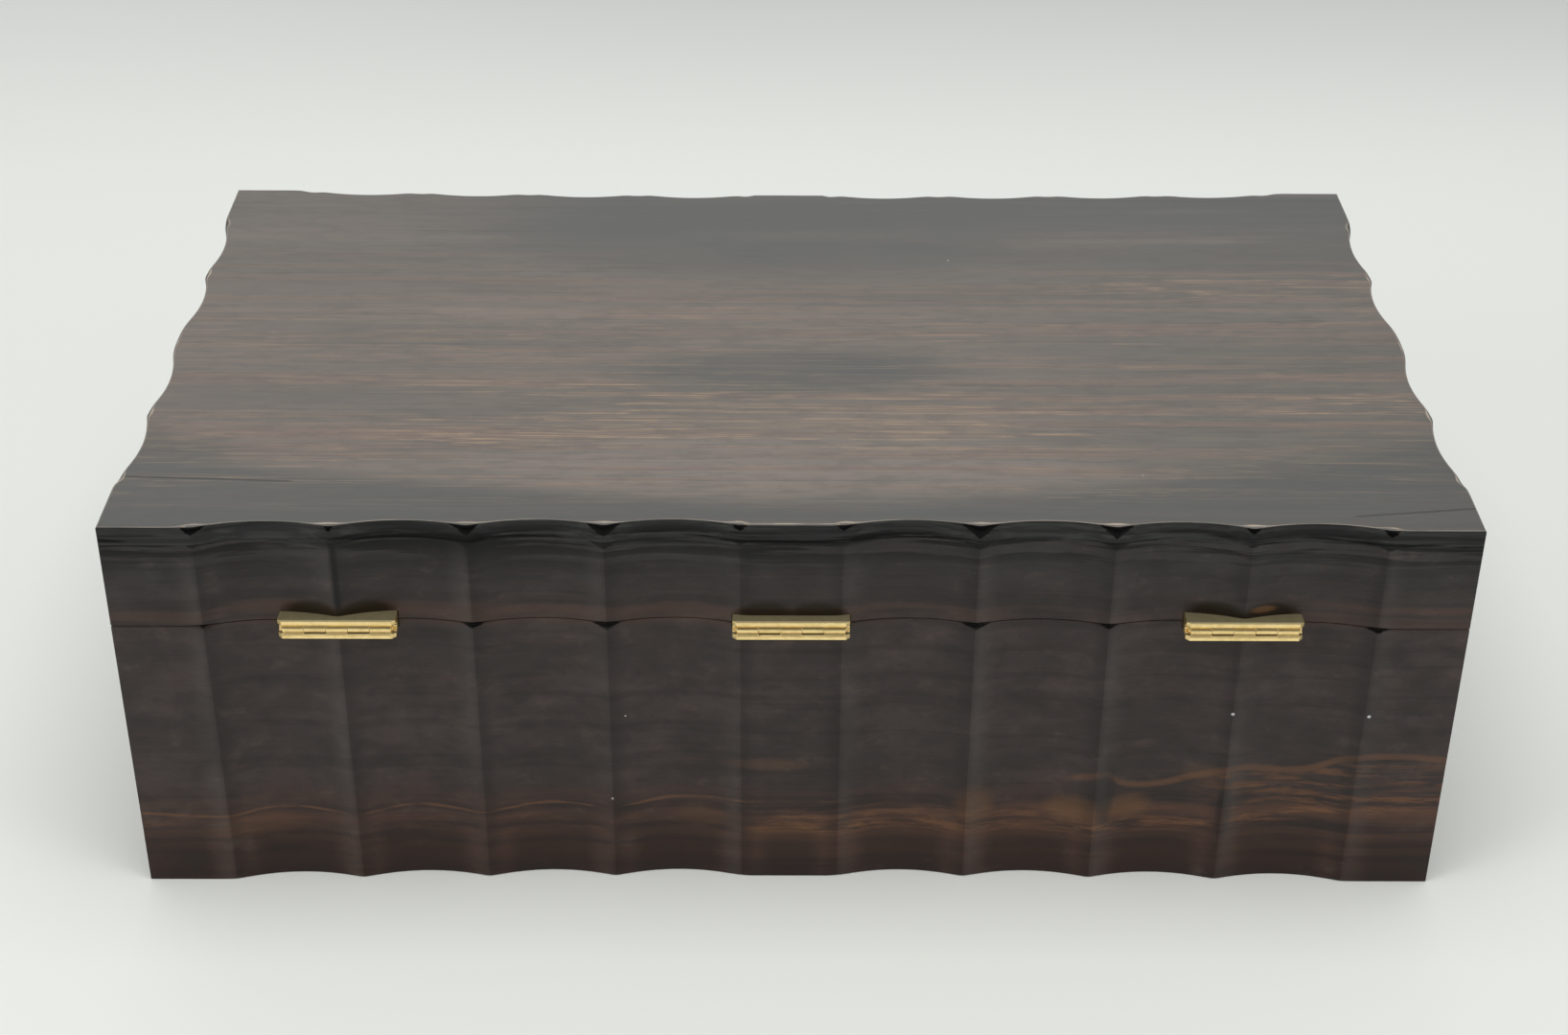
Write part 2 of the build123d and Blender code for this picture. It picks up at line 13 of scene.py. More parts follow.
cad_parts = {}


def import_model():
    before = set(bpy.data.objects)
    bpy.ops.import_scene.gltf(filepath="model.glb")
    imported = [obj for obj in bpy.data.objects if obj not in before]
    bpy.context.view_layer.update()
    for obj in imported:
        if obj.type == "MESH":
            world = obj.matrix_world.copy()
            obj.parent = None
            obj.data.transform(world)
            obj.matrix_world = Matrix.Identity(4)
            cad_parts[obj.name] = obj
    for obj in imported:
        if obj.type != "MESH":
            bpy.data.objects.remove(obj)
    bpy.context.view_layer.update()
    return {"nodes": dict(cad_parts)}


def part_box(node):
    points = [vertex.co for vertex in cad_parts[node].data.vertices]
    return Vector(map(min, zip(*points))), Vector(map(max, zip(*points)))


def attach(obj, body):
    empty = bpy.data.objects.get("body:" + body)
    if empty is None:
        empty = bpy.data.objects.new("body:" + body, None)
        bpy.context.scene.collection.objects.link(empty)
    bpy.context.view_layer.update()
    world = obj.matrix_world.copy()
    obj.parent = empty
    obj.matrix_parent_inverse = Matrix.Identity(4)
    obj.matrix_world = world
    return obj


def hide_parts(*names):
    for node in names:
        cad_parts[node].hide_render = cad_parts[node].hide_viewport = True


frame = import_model()
nodes = frame["nodes"]
MM = 0.001

# Plan of the fluted sides
WALL = 14 * MM
FLUTE_DEPTH = 3.3 * MM
LONG = {"corner": 27 * MM, "centre": 30 * MM, "flutes": 4, "hollow": 2.2 * MM}
SHORT = {"corner": 28 * MM, "centre": 16 * MM, "flutes": 2, "hollow": 0.5 * MM}
RIDGE_WEAR = 0.9 * MM
SHOULDER_WEAR = 2.2 * MM
FINE_STEP = 0.2 * MM
COLUMN_STEP = 2.0 * MM
RIDGE_STEP = 0.4 * MM
RIDGE_ROOM = 4.0 * MM

# Worn edges: radius in the flutes, and what ridges and lands add to it
TOP_EDGE = (0.45 * MM, 1.9 * MM)
RIM_EDGE = (0.3 * MM, 1.3 * MM)
LID_RIM_EDGE = (0.25 * MM, 0.6 * MM)
JOINT_EDGE = (0.05 * MM, 0.0)
FOOT_EDGE = (0.4 * MM, 0.3 * MM)
EDGE_ROWS = 5
EDGE_SUPPORT = 0.3 * MM
RIDGE_SPREAD = 3.2 * MM

# Heights and faces taken from the part
base_low, base_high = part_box("base_back_wall")
lid_low, lid_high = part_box("lid_back_wall")
top_low, top_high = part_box("lid_top_board")
HALF_X = top_high.x
HALF_Y = top_high.y
SEAM_Z = (base_high.z + lid_low.z) / 2
GLUE_Z = top_low.z
TOP_Z = top_high.z

# The photograph's camera
CAMERA_AT = Vector((0.006344, 0.742624, 0.521856))
CAMERA_PITCH = 0.55418
CAMERA_YAW = 0.00641
CAMERA_ROLL = 0.00620
IMAGE_WIDTH = 1636
FOCAL_PIXELS = 2683.5
SENSOR = 36.0

# Highest value of a traced line, and the slope between the top board's face and its side
TRACE_TOP = 0.1
TOP_FACE_SLOPE = 0.88

# Colours of the dark wood
BLACK = (0.004, 0.004, 0.004)
# Near black of the streaks at the glue line and of the painted dark reflections at the ridges
STREAK_AND_REFLECTION_BLACK = (0.0015, 0.0015, 0.0015)
CHARCOAL = (0.030, 0.0305, 0.0295)
COAL = (0.023, 0.0235, 0.023)
SLATE = (0.047, 0.049, 0.046)
MURK = (0.022, 0.0185, 0.0175)
AMBER = (0.15, 0.075, 0.032)
BROWN = (0.047, 0.0355, 0.034)
FOOT_BROWN = (0.042, 0.021, 0.017)
FOOT_DARK = (0.014, 0.009, 0.008)
RED_BROWN = (0.085, 0.042, 0.026)
# Painted shade beside the hinges
OLIVE_DARK = (0.012, 0.009, 0.004)
ORANGE = (0.17, 0.080, 0.038)
OCHRE = (0.30, 0.20, 0.11)
WORN = (0.34, 0.28, 0.22)
# Painted highlight on the outer side of the ridges
RIDGE_HIGHLIGHT = (0.090, 0.080, 0.074)
HAZE = (0.099, 0.079, 0.066)
BLUE_BLACK = (0.033, 0.0355, 0.034)
SMUDGE = (0.085, 0.062, 0.052)
SHEEN = (0.155, 0.130, 0.113)
TAWNY = (0.120, 0.074, 0.058)
FAWN = (0.146, 0.113, 0.092)
UMBER = (0.044, 0.038, 0.034)
DEEP_UMBER = (0.030, 0.026, 0.024)
THREAD = (0.018, 0.015, 0.014)
DUST = (0.5, 0.48, 0.45)
SPECK = (0.6, 0.6, 0.6)

# Colours of the inner wood: ground, streaks, pores and worn edges
INNER = ((0.12, 0.045, 0.022), (0.21, 0.088, 0.042))
INNER_STREAK = (0.085, 0.03, 0.016)
INNER_PORE = (0.04, 0.016, 0.01)
INNER_WORN = (0.33, 0.17, 0.09)
BOTTOM = ((0.085, 0.04, 0.022), (0.15, 0.078, 0.043))
BOTTOM_PORE = (0.03, 0.014, 0.009)
BOTTOM_DUST = (0.3, 0.26, 0.22)

# Colours of the metal (clean, tarnished, dirty), glass, leather (ground, worn) and cloth
BRASS = ((1.0, 0.77, 0.37), (0.86, 0.65, 0.29), (0.25, 0.15, 0.06))
SCREW_BRASS = ((0.66, 0.5, 0.23), (0.42, 0.34, 0.16), (0.1, 0.07, 0.035))
DULL_BRASS = (0.36, 0.31, 0.17)
HINGE_GRIME = (0.062, 0.052, 0.026)
GLASS = (0.93, 0.97, 0.95)
WRITING_GREEN = ((0.045, 0.075, 0.035), (0.10, 0.13, 0.06))
TAB_GREEN = ((0.035, 0.055, 0.028), (0.12, 0.13, 0.07))
GILT = (0.36, 0.26, 0.1)
CLOTH = ((0.115, 0.022, 0.034), (0.15, 0.031, 0.045))
NAP = (0.25, 0.08, 0.1)

# Figure of the base's back: line and bands as (x, z), blots with half width, height and share
LEFT_LINE = (
    (-0.03, 0.0295), (0.0, 0.0295), (0.037, 0.0285), (0.057, 0.0265), (0.075, 0.0272), (0.096, 0.0252),
    (0.116, 0.0263), (0.134, 0.0245), (0.155, 0.0262), (0.173, 0.0250), (0.2, 0.0262),
)
LOW_BAND = (
    (-0.2, 0.0305), (-0.19, 0.0300), (-0.166, 0.0270), (-0.148, 0.0240), (-0.135, 0.0220),
    (-0.103, 0.0195), (-0.057, 0.0195), (-0.02, 0.0200), (0.02, 0.0190),
)
HIGH_BAND = (
    (-0.2, 0.0480), (-0.172, 0.0480), (-0.157, 0.0415), (-0.135, 0.0425), (-0.126, 0.0395),
    (-0.110, 0.0350), (-0.102, 0.0365), (-0.097, 0.0400), (-0.091, 0.0395), (-0.082, 0.0360),
)
BACK_BLOTS = (
    ((-0.057, 0.028), 0.008, 0.009, 0.55),
    ((-0.088, 0.026), 0.012, 0.007, 0.65),
    ((-0.104, 0.027), 0.010, 0.006, 0.6),
    ((-0.128, 0.040), 0.010, 0.004, 0.35),
    ((0.165, 0.020), 0.018, 0.006, 0.3),
    ((0.028, 0.022), 0.010, 0.006, 0.3),
    ((0.007, 0.044), 0.016, 0.003, 0.35),
    ((0.002, 0.0185), 0.018, 0.0025, 0.5),
)
BACK_SHADES = (((-0.097, 0.034), 0.004, 0.016), ((-0.134, 0.026), 0.003, 0.014))
BACK_SPECKS = ((-0.1334, 0.064), (-0.1743, 0.064))

# Fine cracks in the top: both ends as (x, y), and the width
CRACKS = (
    ((0.1991, 0.0873), (0.149, 0.0898), 0.5 * MM),
    ((-0.165, 0.108), (-0.1992, 0.1036), 0.6 * MM),
)

# Rooms in the walls for the hinges and the lock, and the place of a crack over an end hinge
HINGES = ("left", "centre", "right")
END_GAP = 0.25 * MM
HINGE_CRACK_X = 133 * MM
LOCK_BOX_HALF = 17 * MM
LOCK_BOX_DROP = 25 * MM
LOCK_PLATE = 1.5 * MM
KEYWAY_HALF = 2.4 * MM
KEYWAY_DOWN = 4.3 * MM
KEYWAY_UP = 4.6 * MM

# Rounding of the fittings' edges
WOOD_EDGE = 0.35 * MM
GLASS_EDGE = 0.6 * MM
CAP_EDGE = 0.25 * MM
CAP_PIN_EDGE = 0.1 * MM
LEAF_EDGE = 0.12 * MM
PIN_EDGE = 0.15 * MM

# Screws
SCREW_HEAD = 1.9 * MM
SCREW_SHANK = 0.9 * MM
SCREW_PROUD = 0.02 * MM
LONG_SCREW = 9 * MM
SHORT_SCREW = 4 * MM
LEAF_SCREW_IN = 5.5 * MM
LEAF_SCREW_APART = 9.5 * MM
LOCK_SCREW_X = 20 * MM
THREAD_TURNS = 5
SLOT_HALF = 0.22 * MM
SLOT_DEPTH = 0.7 * MM

# Surroundings: floor, card, sky and lamps
FLOOR_HALF = 4.0
FLOOR = ((0.705, 0.72, 0.686), (0.728, 0.738, 0.71))
FLOOR_SHADE = (0.55, 0.565, 0.54)
FLOOR_OUTSIDE = (0.46, 0.47, 0.45)
CARD = (0.01, 0.01, 0.011)
WORLD_SEEN = 1.0
WORLD_FILL = 0.5
SEEN_COLOR = (0.76, 0.775, 0.75)
FILL_COLOR = (0.95, 0.98, 1.0)
LAMP_COLOR = (1.0, 0.985, 0.965)

# Each lamp's place, target, width, height and power
LAMPS = {
    "back_lamp": ((0.5, -2.6, 1.9), (0, 0, 0.1), 3.4, 1.5, 12.5),
    "top_lamp": ((0.0, 0.25, 1.7), (0, 0.15, 0), 1.6, 1.3, 19.0),
    "left_lamp": ((1.9, 1.2, 0.9), (0, 0.1, 0.05), 0.9, 1.0, 14.0),
    "right_lamp": ((-1.9, 1.2, 0.9), (0, 0.1, 0.05), 0.9, 1.0, 9.0),
}


# Small tools for shader nodes


class Shader:
    """A node tree with its colour so far, and a short call for each kind of node used here."""

    def __init__(self, name, color=None, kind="Material"):
        self.color = color
        self.owner = getattr(bpy.data, kind.lower() + "s").new(name)
        self.owner.use_nodes = True
        self.tree = self.owner.node_tree
        self.tree.nodes.clear()
        self.out = self.tree.nodes.new("ShaderNodeOutput" + kind)

    def node(self, kind, inputs, output=0, **settings):
        """The output of a new node, its inputs linked to other outputs or set to values."""
        made = self.tree.nodes.new("ShaderNode" + kind)
        for key, value in settings.items():
            setattr(made, key, value)
        for key, value in inputs.items():
            socket = made.inputs[key]
            if isinstance(value, bpy.types.NodeSocket):
                self.tree.links.new(value, socket)
            else:
                socket.default_value = (*value, 1) if socket.type == "RGBA" else value
        return made.outputs[output]

    def place(self):
        return self.node("TexCoord", {}, "Object")

    def normal(self):
        return self.node("TexCoord", {}, "Normal")

    def axis(self, vector, name):
        return self.node("SeparateXYZ", {0: vector}, name)

    def scaled(self, vector, scale, offset=(0, 0, 0), turn=(0, 0, 0)):
        inputs = {"Vector": vector, "Scale": scale, "Location": offset, "Rotation": turn}
        return self.node("Mapping", inputs)

    def noise(self, vector, scale, detail=3.0, rough=0.55):
        inputs = {"Vector": vector, "Scale": scale, "Detail": detail, "Roughness": rough}
        return self.node("TexNoise", inputs, "Fac")

    def stretched(self, vector, scale, detail, rough=0.55, at=(0, 0, 0)):
        """Noise with a scale of its own along each axis."""
        return self.noise(self.scaled(vector, scale, at), 1.0, detail, rough)

    def cells(self, vector, scale):
        """Distance to the nearest of many scattered points."""
        return self.node("TexVoronoi", {"Vector": vector, "Scale": scale}, "Distance")

    def math(self, operation, a, b=0.0, clamp=False):
        return self.node("Math", {0: a, 1: b}, operation=operation, use_clamp=clamp)

    def minus(self, a, b):
        return self.math("SUBTRACT", a, b)

    def ratio(self, a, b):
        return self.math("DIVIDE", a, b)

    def size(self, a):
        """The number without its sign."""
        return self.math("ABSOLUTE", a)

    def times(self, *values):
        return reduce(partial(self.math, "MULTIPLY"), values)

    def plus(self, *values):
        return reduce(partial(self.math, "ADD"), values)

    def either(self, *values):
        return reduce(partial(self.math, "MAXIMUM"), values)

    def squares(self, a, b):
        """The sum of two squares."""
        return self.plus(self.math("POWER", a, 2.0), self.math("POWER", b, 2.0))

    def step(self, value, low, high):
        """0 below low and 1 above high, or the reverse where low is the larger, with a soft rise."""
        inputs = {"Value": value, "From Min": min(low, high), "From Max": max(low, high)}
        inputs["To Min"], inputs["To Max"] = (0.0, 1.0) if low < high else (1.0, 0.0)
        return self.node("MapRange", inputs, "Result", interpolation_type="SMOOTHSTEP")

    def band(self, value, low, high, soft):
        """1 between low and high, fading over soft on either side."""
        return self.times(self.step(value, low - soft, low), self.step(value, high + soft, high))

    def between(self, share, a, b):
        """The number between a and b at that share."""
        return self.node("MapRange", {"Value": share, "To Min": a, "To Max": b}, "Result")

    def mix(self, share, a, b):
        return self.node("MixRGB", {"Fac": share, "Color1": a, "Color2": b}, "Color")

    def coat(self, over, *shares):
        """Lays a colour over the one so far, by the product of the shares."""
        self.color = self.mix(self.times(*shares), self.color, over)

    def traced(self, value, points):
        """The height of a smooth line through (place, height) points, at the given place."""
        points = sorted(points)
        low = points[0][0]
        reach = points[-1][0] - low
        share = self.math("DIVIDE", self.minus(value, low), reach, clamp=True)
        traced = self.node("FloatCurve", {"Value": share})
        curve = traced.node.mapping.curves[0]
        for _ in points[2:]:
            curve.points.new(0.5, 0.5)
        for point, (place, height) in zip(curve.points, points):
            point.location = ((place - low) / reach, height / TRACE_TOP)
        traced.node.mapping.update()
        return self.times(traced, TRACE_TOP)

    def bump(self, height, depth, strength=1.0, under=None):
        inputs = {"Strength": strength, "Distance": depth, "Height": height}
        if under is not None:
            inputs["Normal"] = under
        return self.node("Bump", inputs)

    def surface(self, roughness, normal=None, **settings):
        """The finished material, with the colour so far and the given settings."""
        inputs = {"Base Color": self.color, "Roughness": roughness}
        if normal is not None:
            inputs["Normal"] = normal
        for key, value in settings.items():
            inputs[key.replace("_", " ")] = value
        self.tree.links.new(self.node("BsdfPrincipled", inputs), self.out.inputs["Surface"])
        return self.owner


# Dark streaked wood


def streaks(s, place, along, across, seed, detail=3.0):
    """Noise stretched along the grain. along and across are its scales per metre."""
    return s.stretched(place, (along, across, across), detail, at=(seed, seed * 0.37, seed * 0.71))


def grain_place(s, turned):
    """Object coordinates with the grain along their first axis."""
    place = s.place()
    return s.scaled(place, (1, 1, 1), (0, 0, 0), (0, 0, math.pi / 2)) if turned else place


def drifted(s, place, seed, slow, quick):
    """The place shifted across the grain, so that the streaks drift slowly and wobble."""
    drift = s.stretched(place, (3.0, 12.0, 12.0), 2.0, at=(seed, 0, 0))
    wobble = s.stretched(place, (22.0, 40.0, 40.0), 2.0, at=(seed, 5, 0))
    shift = s.plus(s.times(drift, slow), s.times(wobble, quick))
    both = s.node("CombineXYZ", {"Y": shift, "Z": shift})
    return s.node("VectorMath", {0: place, 1: both}, operation="ADD")


def past_ridge(s, along, plan):
    """Distance outward from the last ridge, from 0 to one flute's width."""
    off = s.minus(s.size(along), plan.centre)
    return s.times(s.math("FRACT", s.ratio(off, plan.pitch)), plan.pitch)


def ridge_gap(s, along, plan):
    """Distance to the nearest ridge of a side, larger over a swell, which has none."""
    middle = s.size(along)
    gap = s.math("PINGPONG", s.minus(middle, plan.centre), plan.pitch / 2)
    if plan.swell:
        first = plan.ridges[1]
        gap = s.plus(gap, s.times(s.step(middle, first, first - plan.pitch / 2), plan.pitch))
    return gap


def worn_edge(s, place, seed, low, high):
    """Share of bare, pale wood on the arris, from the slope of the surface."""
    slope = s.axis(s.normal(), "Z")
    patchy = s.step(s.stretched(place, (70, 70, 70), 4.0, at=(seed, 0, 0)), 0.38, 0.62)
    return s.times(s.band(slope, low, high, 0.012), s.between(patchy, 0.3, 0.95))


def dusted(s, place, seed):
    """A few pale specks of dust on the polish."""
    distance = s.cells(s.scaled(place, (1, 1, 1), (seed, 0, 0)), 30.0)
    s.coat(DUST, s.step(distance, 0.016, 0.009), 0.55)


def wood_relief(s, place, thin, hair):
    """Slightly uneven polish over open pores."""
    low_relief = s.stretched(place, (6, 22, 22), 2.0)
    relief = s.bump(low_relief, 0.4 * MM, 0.5)
    relief = s.bump(thin, 0.04 * MM, 0.4, relief)
    return s.bump(hair, 0.02 * MM, 0.4, relief)


def foot_streaks(s, height, broad, medium, thin):
    """Warm streaks near the foot, as on the walls the photograph does not show."""
    band = s.band(height, 0.014, 0.028, 0.009)
    patches = s.step(broad, 0.4, 0.62)
    s.coat(RED_BROWN, band, s.step(medium, 0.38, 0.66), 0.6)
    s.coat(ORANGE, band, s.step(thin, 0.46, 0.74), patches, 0.5)


def blot(s, along, up, at, wide, tall, soft=1.0):
    """1 at a spot of a face, fading to 0 at wide and tall from it."""
    across = s.ratio(s.minus(along, at[0]), wide)
    over = s.ratio(s.minus(up, at[1]), tall)
    return s.step(s.squares(across, over), 1.0, 1.0 - soft)


def back_figure(s, place, along, height, medium, thin):
    """The warm figure seen on the base's back: lines, two bands rising to one end, blots at ridges."""
    wander = s.stretched(place, (18, 18, 60), 4.0, 0.6, (7, 0, 0))
    height = s.plus(height, s.times(s.minus(wander, 0.5), 3.5 * MM))
    broken = s.stretched(place, (45, 45, 260), 5.0, 0.65, (3, 0, 0))
    grit = s.stretched(place, (120, 120, 900), 4.0, 0.6, (4, 0, 0))
    grain = s.times(s.step(s.plus(thin, s.times(broken, 0.7)), 0.72, 1.02), s.step(grit, 0.34, 0.6))

    far = s.step(along, 0.05, -0.02)
    warm = s.times(s.band(height, 0.012, 0.026, 0.010), s.between(far, 0.35, 0.6))
    s.coat(RED_BROWN, warm, s.step(medium, 0.36, 0.66))

    line = s.minus(height, s.traced(along, LEFT_LINE))
    shown = s.times(s.step(along, -0.03, 0.0), s.step(broken, 0.38, 0.56))
    s.coat(ORANGE, s.band(line, -0.2 * MM, 0.2 * MM, 0.6 * MM), shown, 0.4)
    below = s.times(s.band(line, -11 * MM, -3 * MM, 3 * MM), s.step(along, 0.02, 0.05), grain)
    s.coat(RED_BROWN, below, s.step(broken, 0.42, 0.6), 0.5)

    low = s.minus(height, s.traced(along, LOW_BAND))
    spotty = s.times(s.step(broken, 0.36, 0.6), s.step(grit, 0.3, 0.6))
    core = s.times(s.band(low, -0.5 * MM, 0.6 * MM, 1.4 * MM), spotty)
    skirt = s.times(s.band(low, -1.5 * MM, 4.5 * MM, 3.5 * MM), grain)
    right = s.step(along, 0.018, 0.0)
    s.coat(RED_BROWN, skirt, right, 0.6)
    s.coat(ORANGE, s.either(s.times(core, 0.8), s.times(skirt, 0.4)), right)

    high = s.minus(height, s.traced(along, HIGH_BAND))
    core = s.times(s.band(high, -0.5 * MM, 0.5 * MM, 1.3 * MM), s.between(broken, 0.2, 1.0))
    skirt = s.times(s.band(high, -9 * MM, -2 * MM, 3 * MM), s.step(along, -0.118, -0.14), grain)
    right = s.step(along, -0.082, -0.09)
    s.coat(RED_BROWN, skirt, right, 0.6)
    s.coat(ORANGE, s.either(s.times(core, 0.6), s.times(skirt, 0.35)), right)

    for at, wide, tall, share in BACK_BLOTS:
        mark = s.times(blot(s, along, height, at, wide, tall), s.between(broken, 0.3, 1.0))
        s.coat(AMBER, mark, share)
    for at, wide, tall in BACK_SHADES:
        s.coat(BLACK, blot(s, along, height, at, wide, tall), 0.6)


def hinge_shade_and_marks(s, along, height, split):
    """Painted shade in the lid beside each hinge, and a painted lit spot and a dark crack over two of
    them.
    """
    # Painted shade beside each hinge
    for middle in (-split, 0.0, split):
        for side in (-1, 1):
            at = (middle + side * 7.5 * MM, SEAM_Z + 3.5 * MM)
            s.coat(OLIVE_DARK, blot(s, along, height, at, 9.5 * MM, 5 * MM, 0.7), 0.85)
    lit = blot(s, along, height, (-split - 6 * MM, SEAM_Z + 5.5 * MM), 5 * MM, 1.6 * MM)
    s.coat(AMBER, lit, 0.6)
    off = s.size(s.minus(along, split))
    run = s.band(height, SEAM_Z + 0.006, GLUE_Z, 0.002)
    s.coat(BLACK, s.step(off, 1.6 * MM, 0.3 * MM), run, 0.75)


def wall_wood(name, turned, seed, plan, lid=False, split=None, seen=False):
    """Wood of one wall: charcoal above, warm streaks near the foot, ridges with a painted highlight on
    their outer side and painted shade on their inner side.

    split is the place along the wall of a dark crack above a hinge. seen is True for the base's
    back, which has the photograph's own figure.
    """
    s = Shader(name)
    place = grain_place(s, turned)
    along = s.axis(place, "X")
    height = s.axis(place, "Z")
    gap = ridge_gap(s, along, plan)
    figure = drifted(s, s.scaled(place, (1, 0.35, 1)), seed, 9 * MM, 2.2 * MM)
    broad = streaks(s, figure, 3.0, 60.0, seed + 1)
    cloud = s.stretched(place, (34, 34, 44), 6.0, 0.65, (seed, 2, 0))
    medium = streaks(s, figure, 5.0, 210.0, seed + 2)
    thin = streaks(s, figure, 9.0, 620.0, seed + 3)
    hair = streaks(s, figure, 22.0, 2000.0, seed + 4)

    upper = s.step(height, GLUE_Z - 0.030, GLUE_Z - 0.006)
    s.color = s.mix(s.step(height, 0.010, 0.045), FOOT_BROWN, BROWN)
    s.coat(CHARCOAL, upper, 0.85)
    figured = s.step(s.plus(s.times(broad, 0.5), cloud), 0.86, 0.62)
    s.coat(MURK, figured, 0.5)
    smudge = s.stretched(place, (90, 90, 150), 5.0, 0.65, (seed, 4, 0))
    s.coat(MURK, s.step(smudge, 0.52, 0.36), 0.45)
    s.coat(SMUDGE, s.step(smudge, 0.54, 0.72), 0.4)
    s.coat(BLACK, s.step(medium, 0.5, 0.36), 0.22)
    s.coat(RED_BROWN, s.step(hair, 0.52, 0.8), 0.3)
    if seen:
        back_figure(s, place, along, height, medium, thin)
        for at in BACK_SPECKS:
            s.coat(SPECK, blot(s, along, height, at, 0.7 * MM, 0.7 * MM))
    elif not lid:
        foot_streaks(s, height, broad, medium, thin)

    near_seam = s.band(height, SEAM_Z + 0.001, SEAM_Z + 0.006, 0.004)
    s.coat(RED_BROWN, near_seam, s.step(medium, 0.35, 0.6), 0.4)
    stained = s.step(height, GLUE_Z - 0.013, GLUE_Z)
    s.coat(STREAK_AND_REFLECTION_BLACK, stain(s, figure, seed), stained, 0.9)

    if not lid:
        hollow = s.times(s.step(gap, 4 * MM, 10 * MM), s.step(height, 0.024, 0.010))
        s.coat(FOOT_DARK, hollow, 0.55)
    # Painted highlight on the outer side of each ridge, painted shade on its inner side
    outer = past_ridge(s, along, plan)
    uneven = s.stretched(place, (14, 14, 9), 3.0, at=(seed, 9, 0))
    fine = s.between(s.step(cloud, 0.35, 0.65), 0.5, 0.9)
    patchy = s.times(fine, s.between(s.step(uneven, 0.35, 0.62), 0.25, 1.0))
    near = s.times(s.step(outer, 8 * MM, 1.0 * MM), s.step(outer, -1.0 * MM, 2.0 * MM))
    pale = s.times(near, s.step(gap, 10 * MM, 8 * MM), patchy)
    s.coat(RIDGE_HIGHLIGHT, pale, s.between(stained, 0.36, 0.1))
    inner = s.times(s.step(outer, plan.pitch - 6 * MM, plan.pitch - 0.5 * MM), 0.3)
    s.coat(BLACK, inner)
    # Painted dark reflection: a black notch under the edge above at each ridge
    painted_ridge_reflection(s, GLUE_Z if lid else base_high.z, height, gap)
    if split is not None:
        hinge_shade_and_marks(s, along, height, split)
    dusted(s, place, seed)
    roughness = s.plus(s.between(cloud, 0.26, 0.36), s.times(upper, 0.05))
    return s.surface(roughness, wood_relief(s, place, thin, hair), Specular_IOR_Level=0.2)


def stain(s, figure, seed):
    """Broken, wavy black streaks around the glue line."""
    made = s.stretched(figure, (15, 60, 300), 5.0, 0.62, (seed, 0, 0))
    return s.step(made, 0.45, 0.54)


def painted_ridge_reflection(s, edge_height, height, gap, half=3.6 * MM, slope=0.5):
    """Painted dark reflection: a ragged black notch where a ridge meets an edge above it, that wide on
    either side.
    """
    size = s.stretched(s.place(), (23, 23, 5), 1.0)
    ragged = s.stretched(s.place(), (260, 260, 900), 4.0, 0.65)
    large = s.between(s.step(size, 0.35, 0.65), -1.8 * MM, 1.4 * MM)
    shift = s.plus(large, s.between(ragged, -1.5 * MM, 1.5 * MM))
    reach = s.times(s.plus(s.minus(half, gap), shift), slope)
    below = s.minus(edge_height, height)
    notch = s.step(s.minus(reach, below), 0.0, 0.5 * MM)
    upright = s.step(s.size(s.axis(s.normal(), "Z")), 0.97, 0.8)
    s.coat(STREAK_AND_REFLECTION_BLACK, notch, upright, 0.97)


def segment_mark(s, x, y, start, end, width):
    """1 on a thin line between two points of the top, with x larger at its start."""
    slope = (end[1] - start[1]) / (end[0] - start[0])
    line_y = s.plus(s.times(s.minus(x, start[0]), slope), start[1])
    off = s.size(s.minus(y, line_y))
    return s.times(s.step(off, width, width / 3), s.band(x, end[0], start[0], 2 * MM))


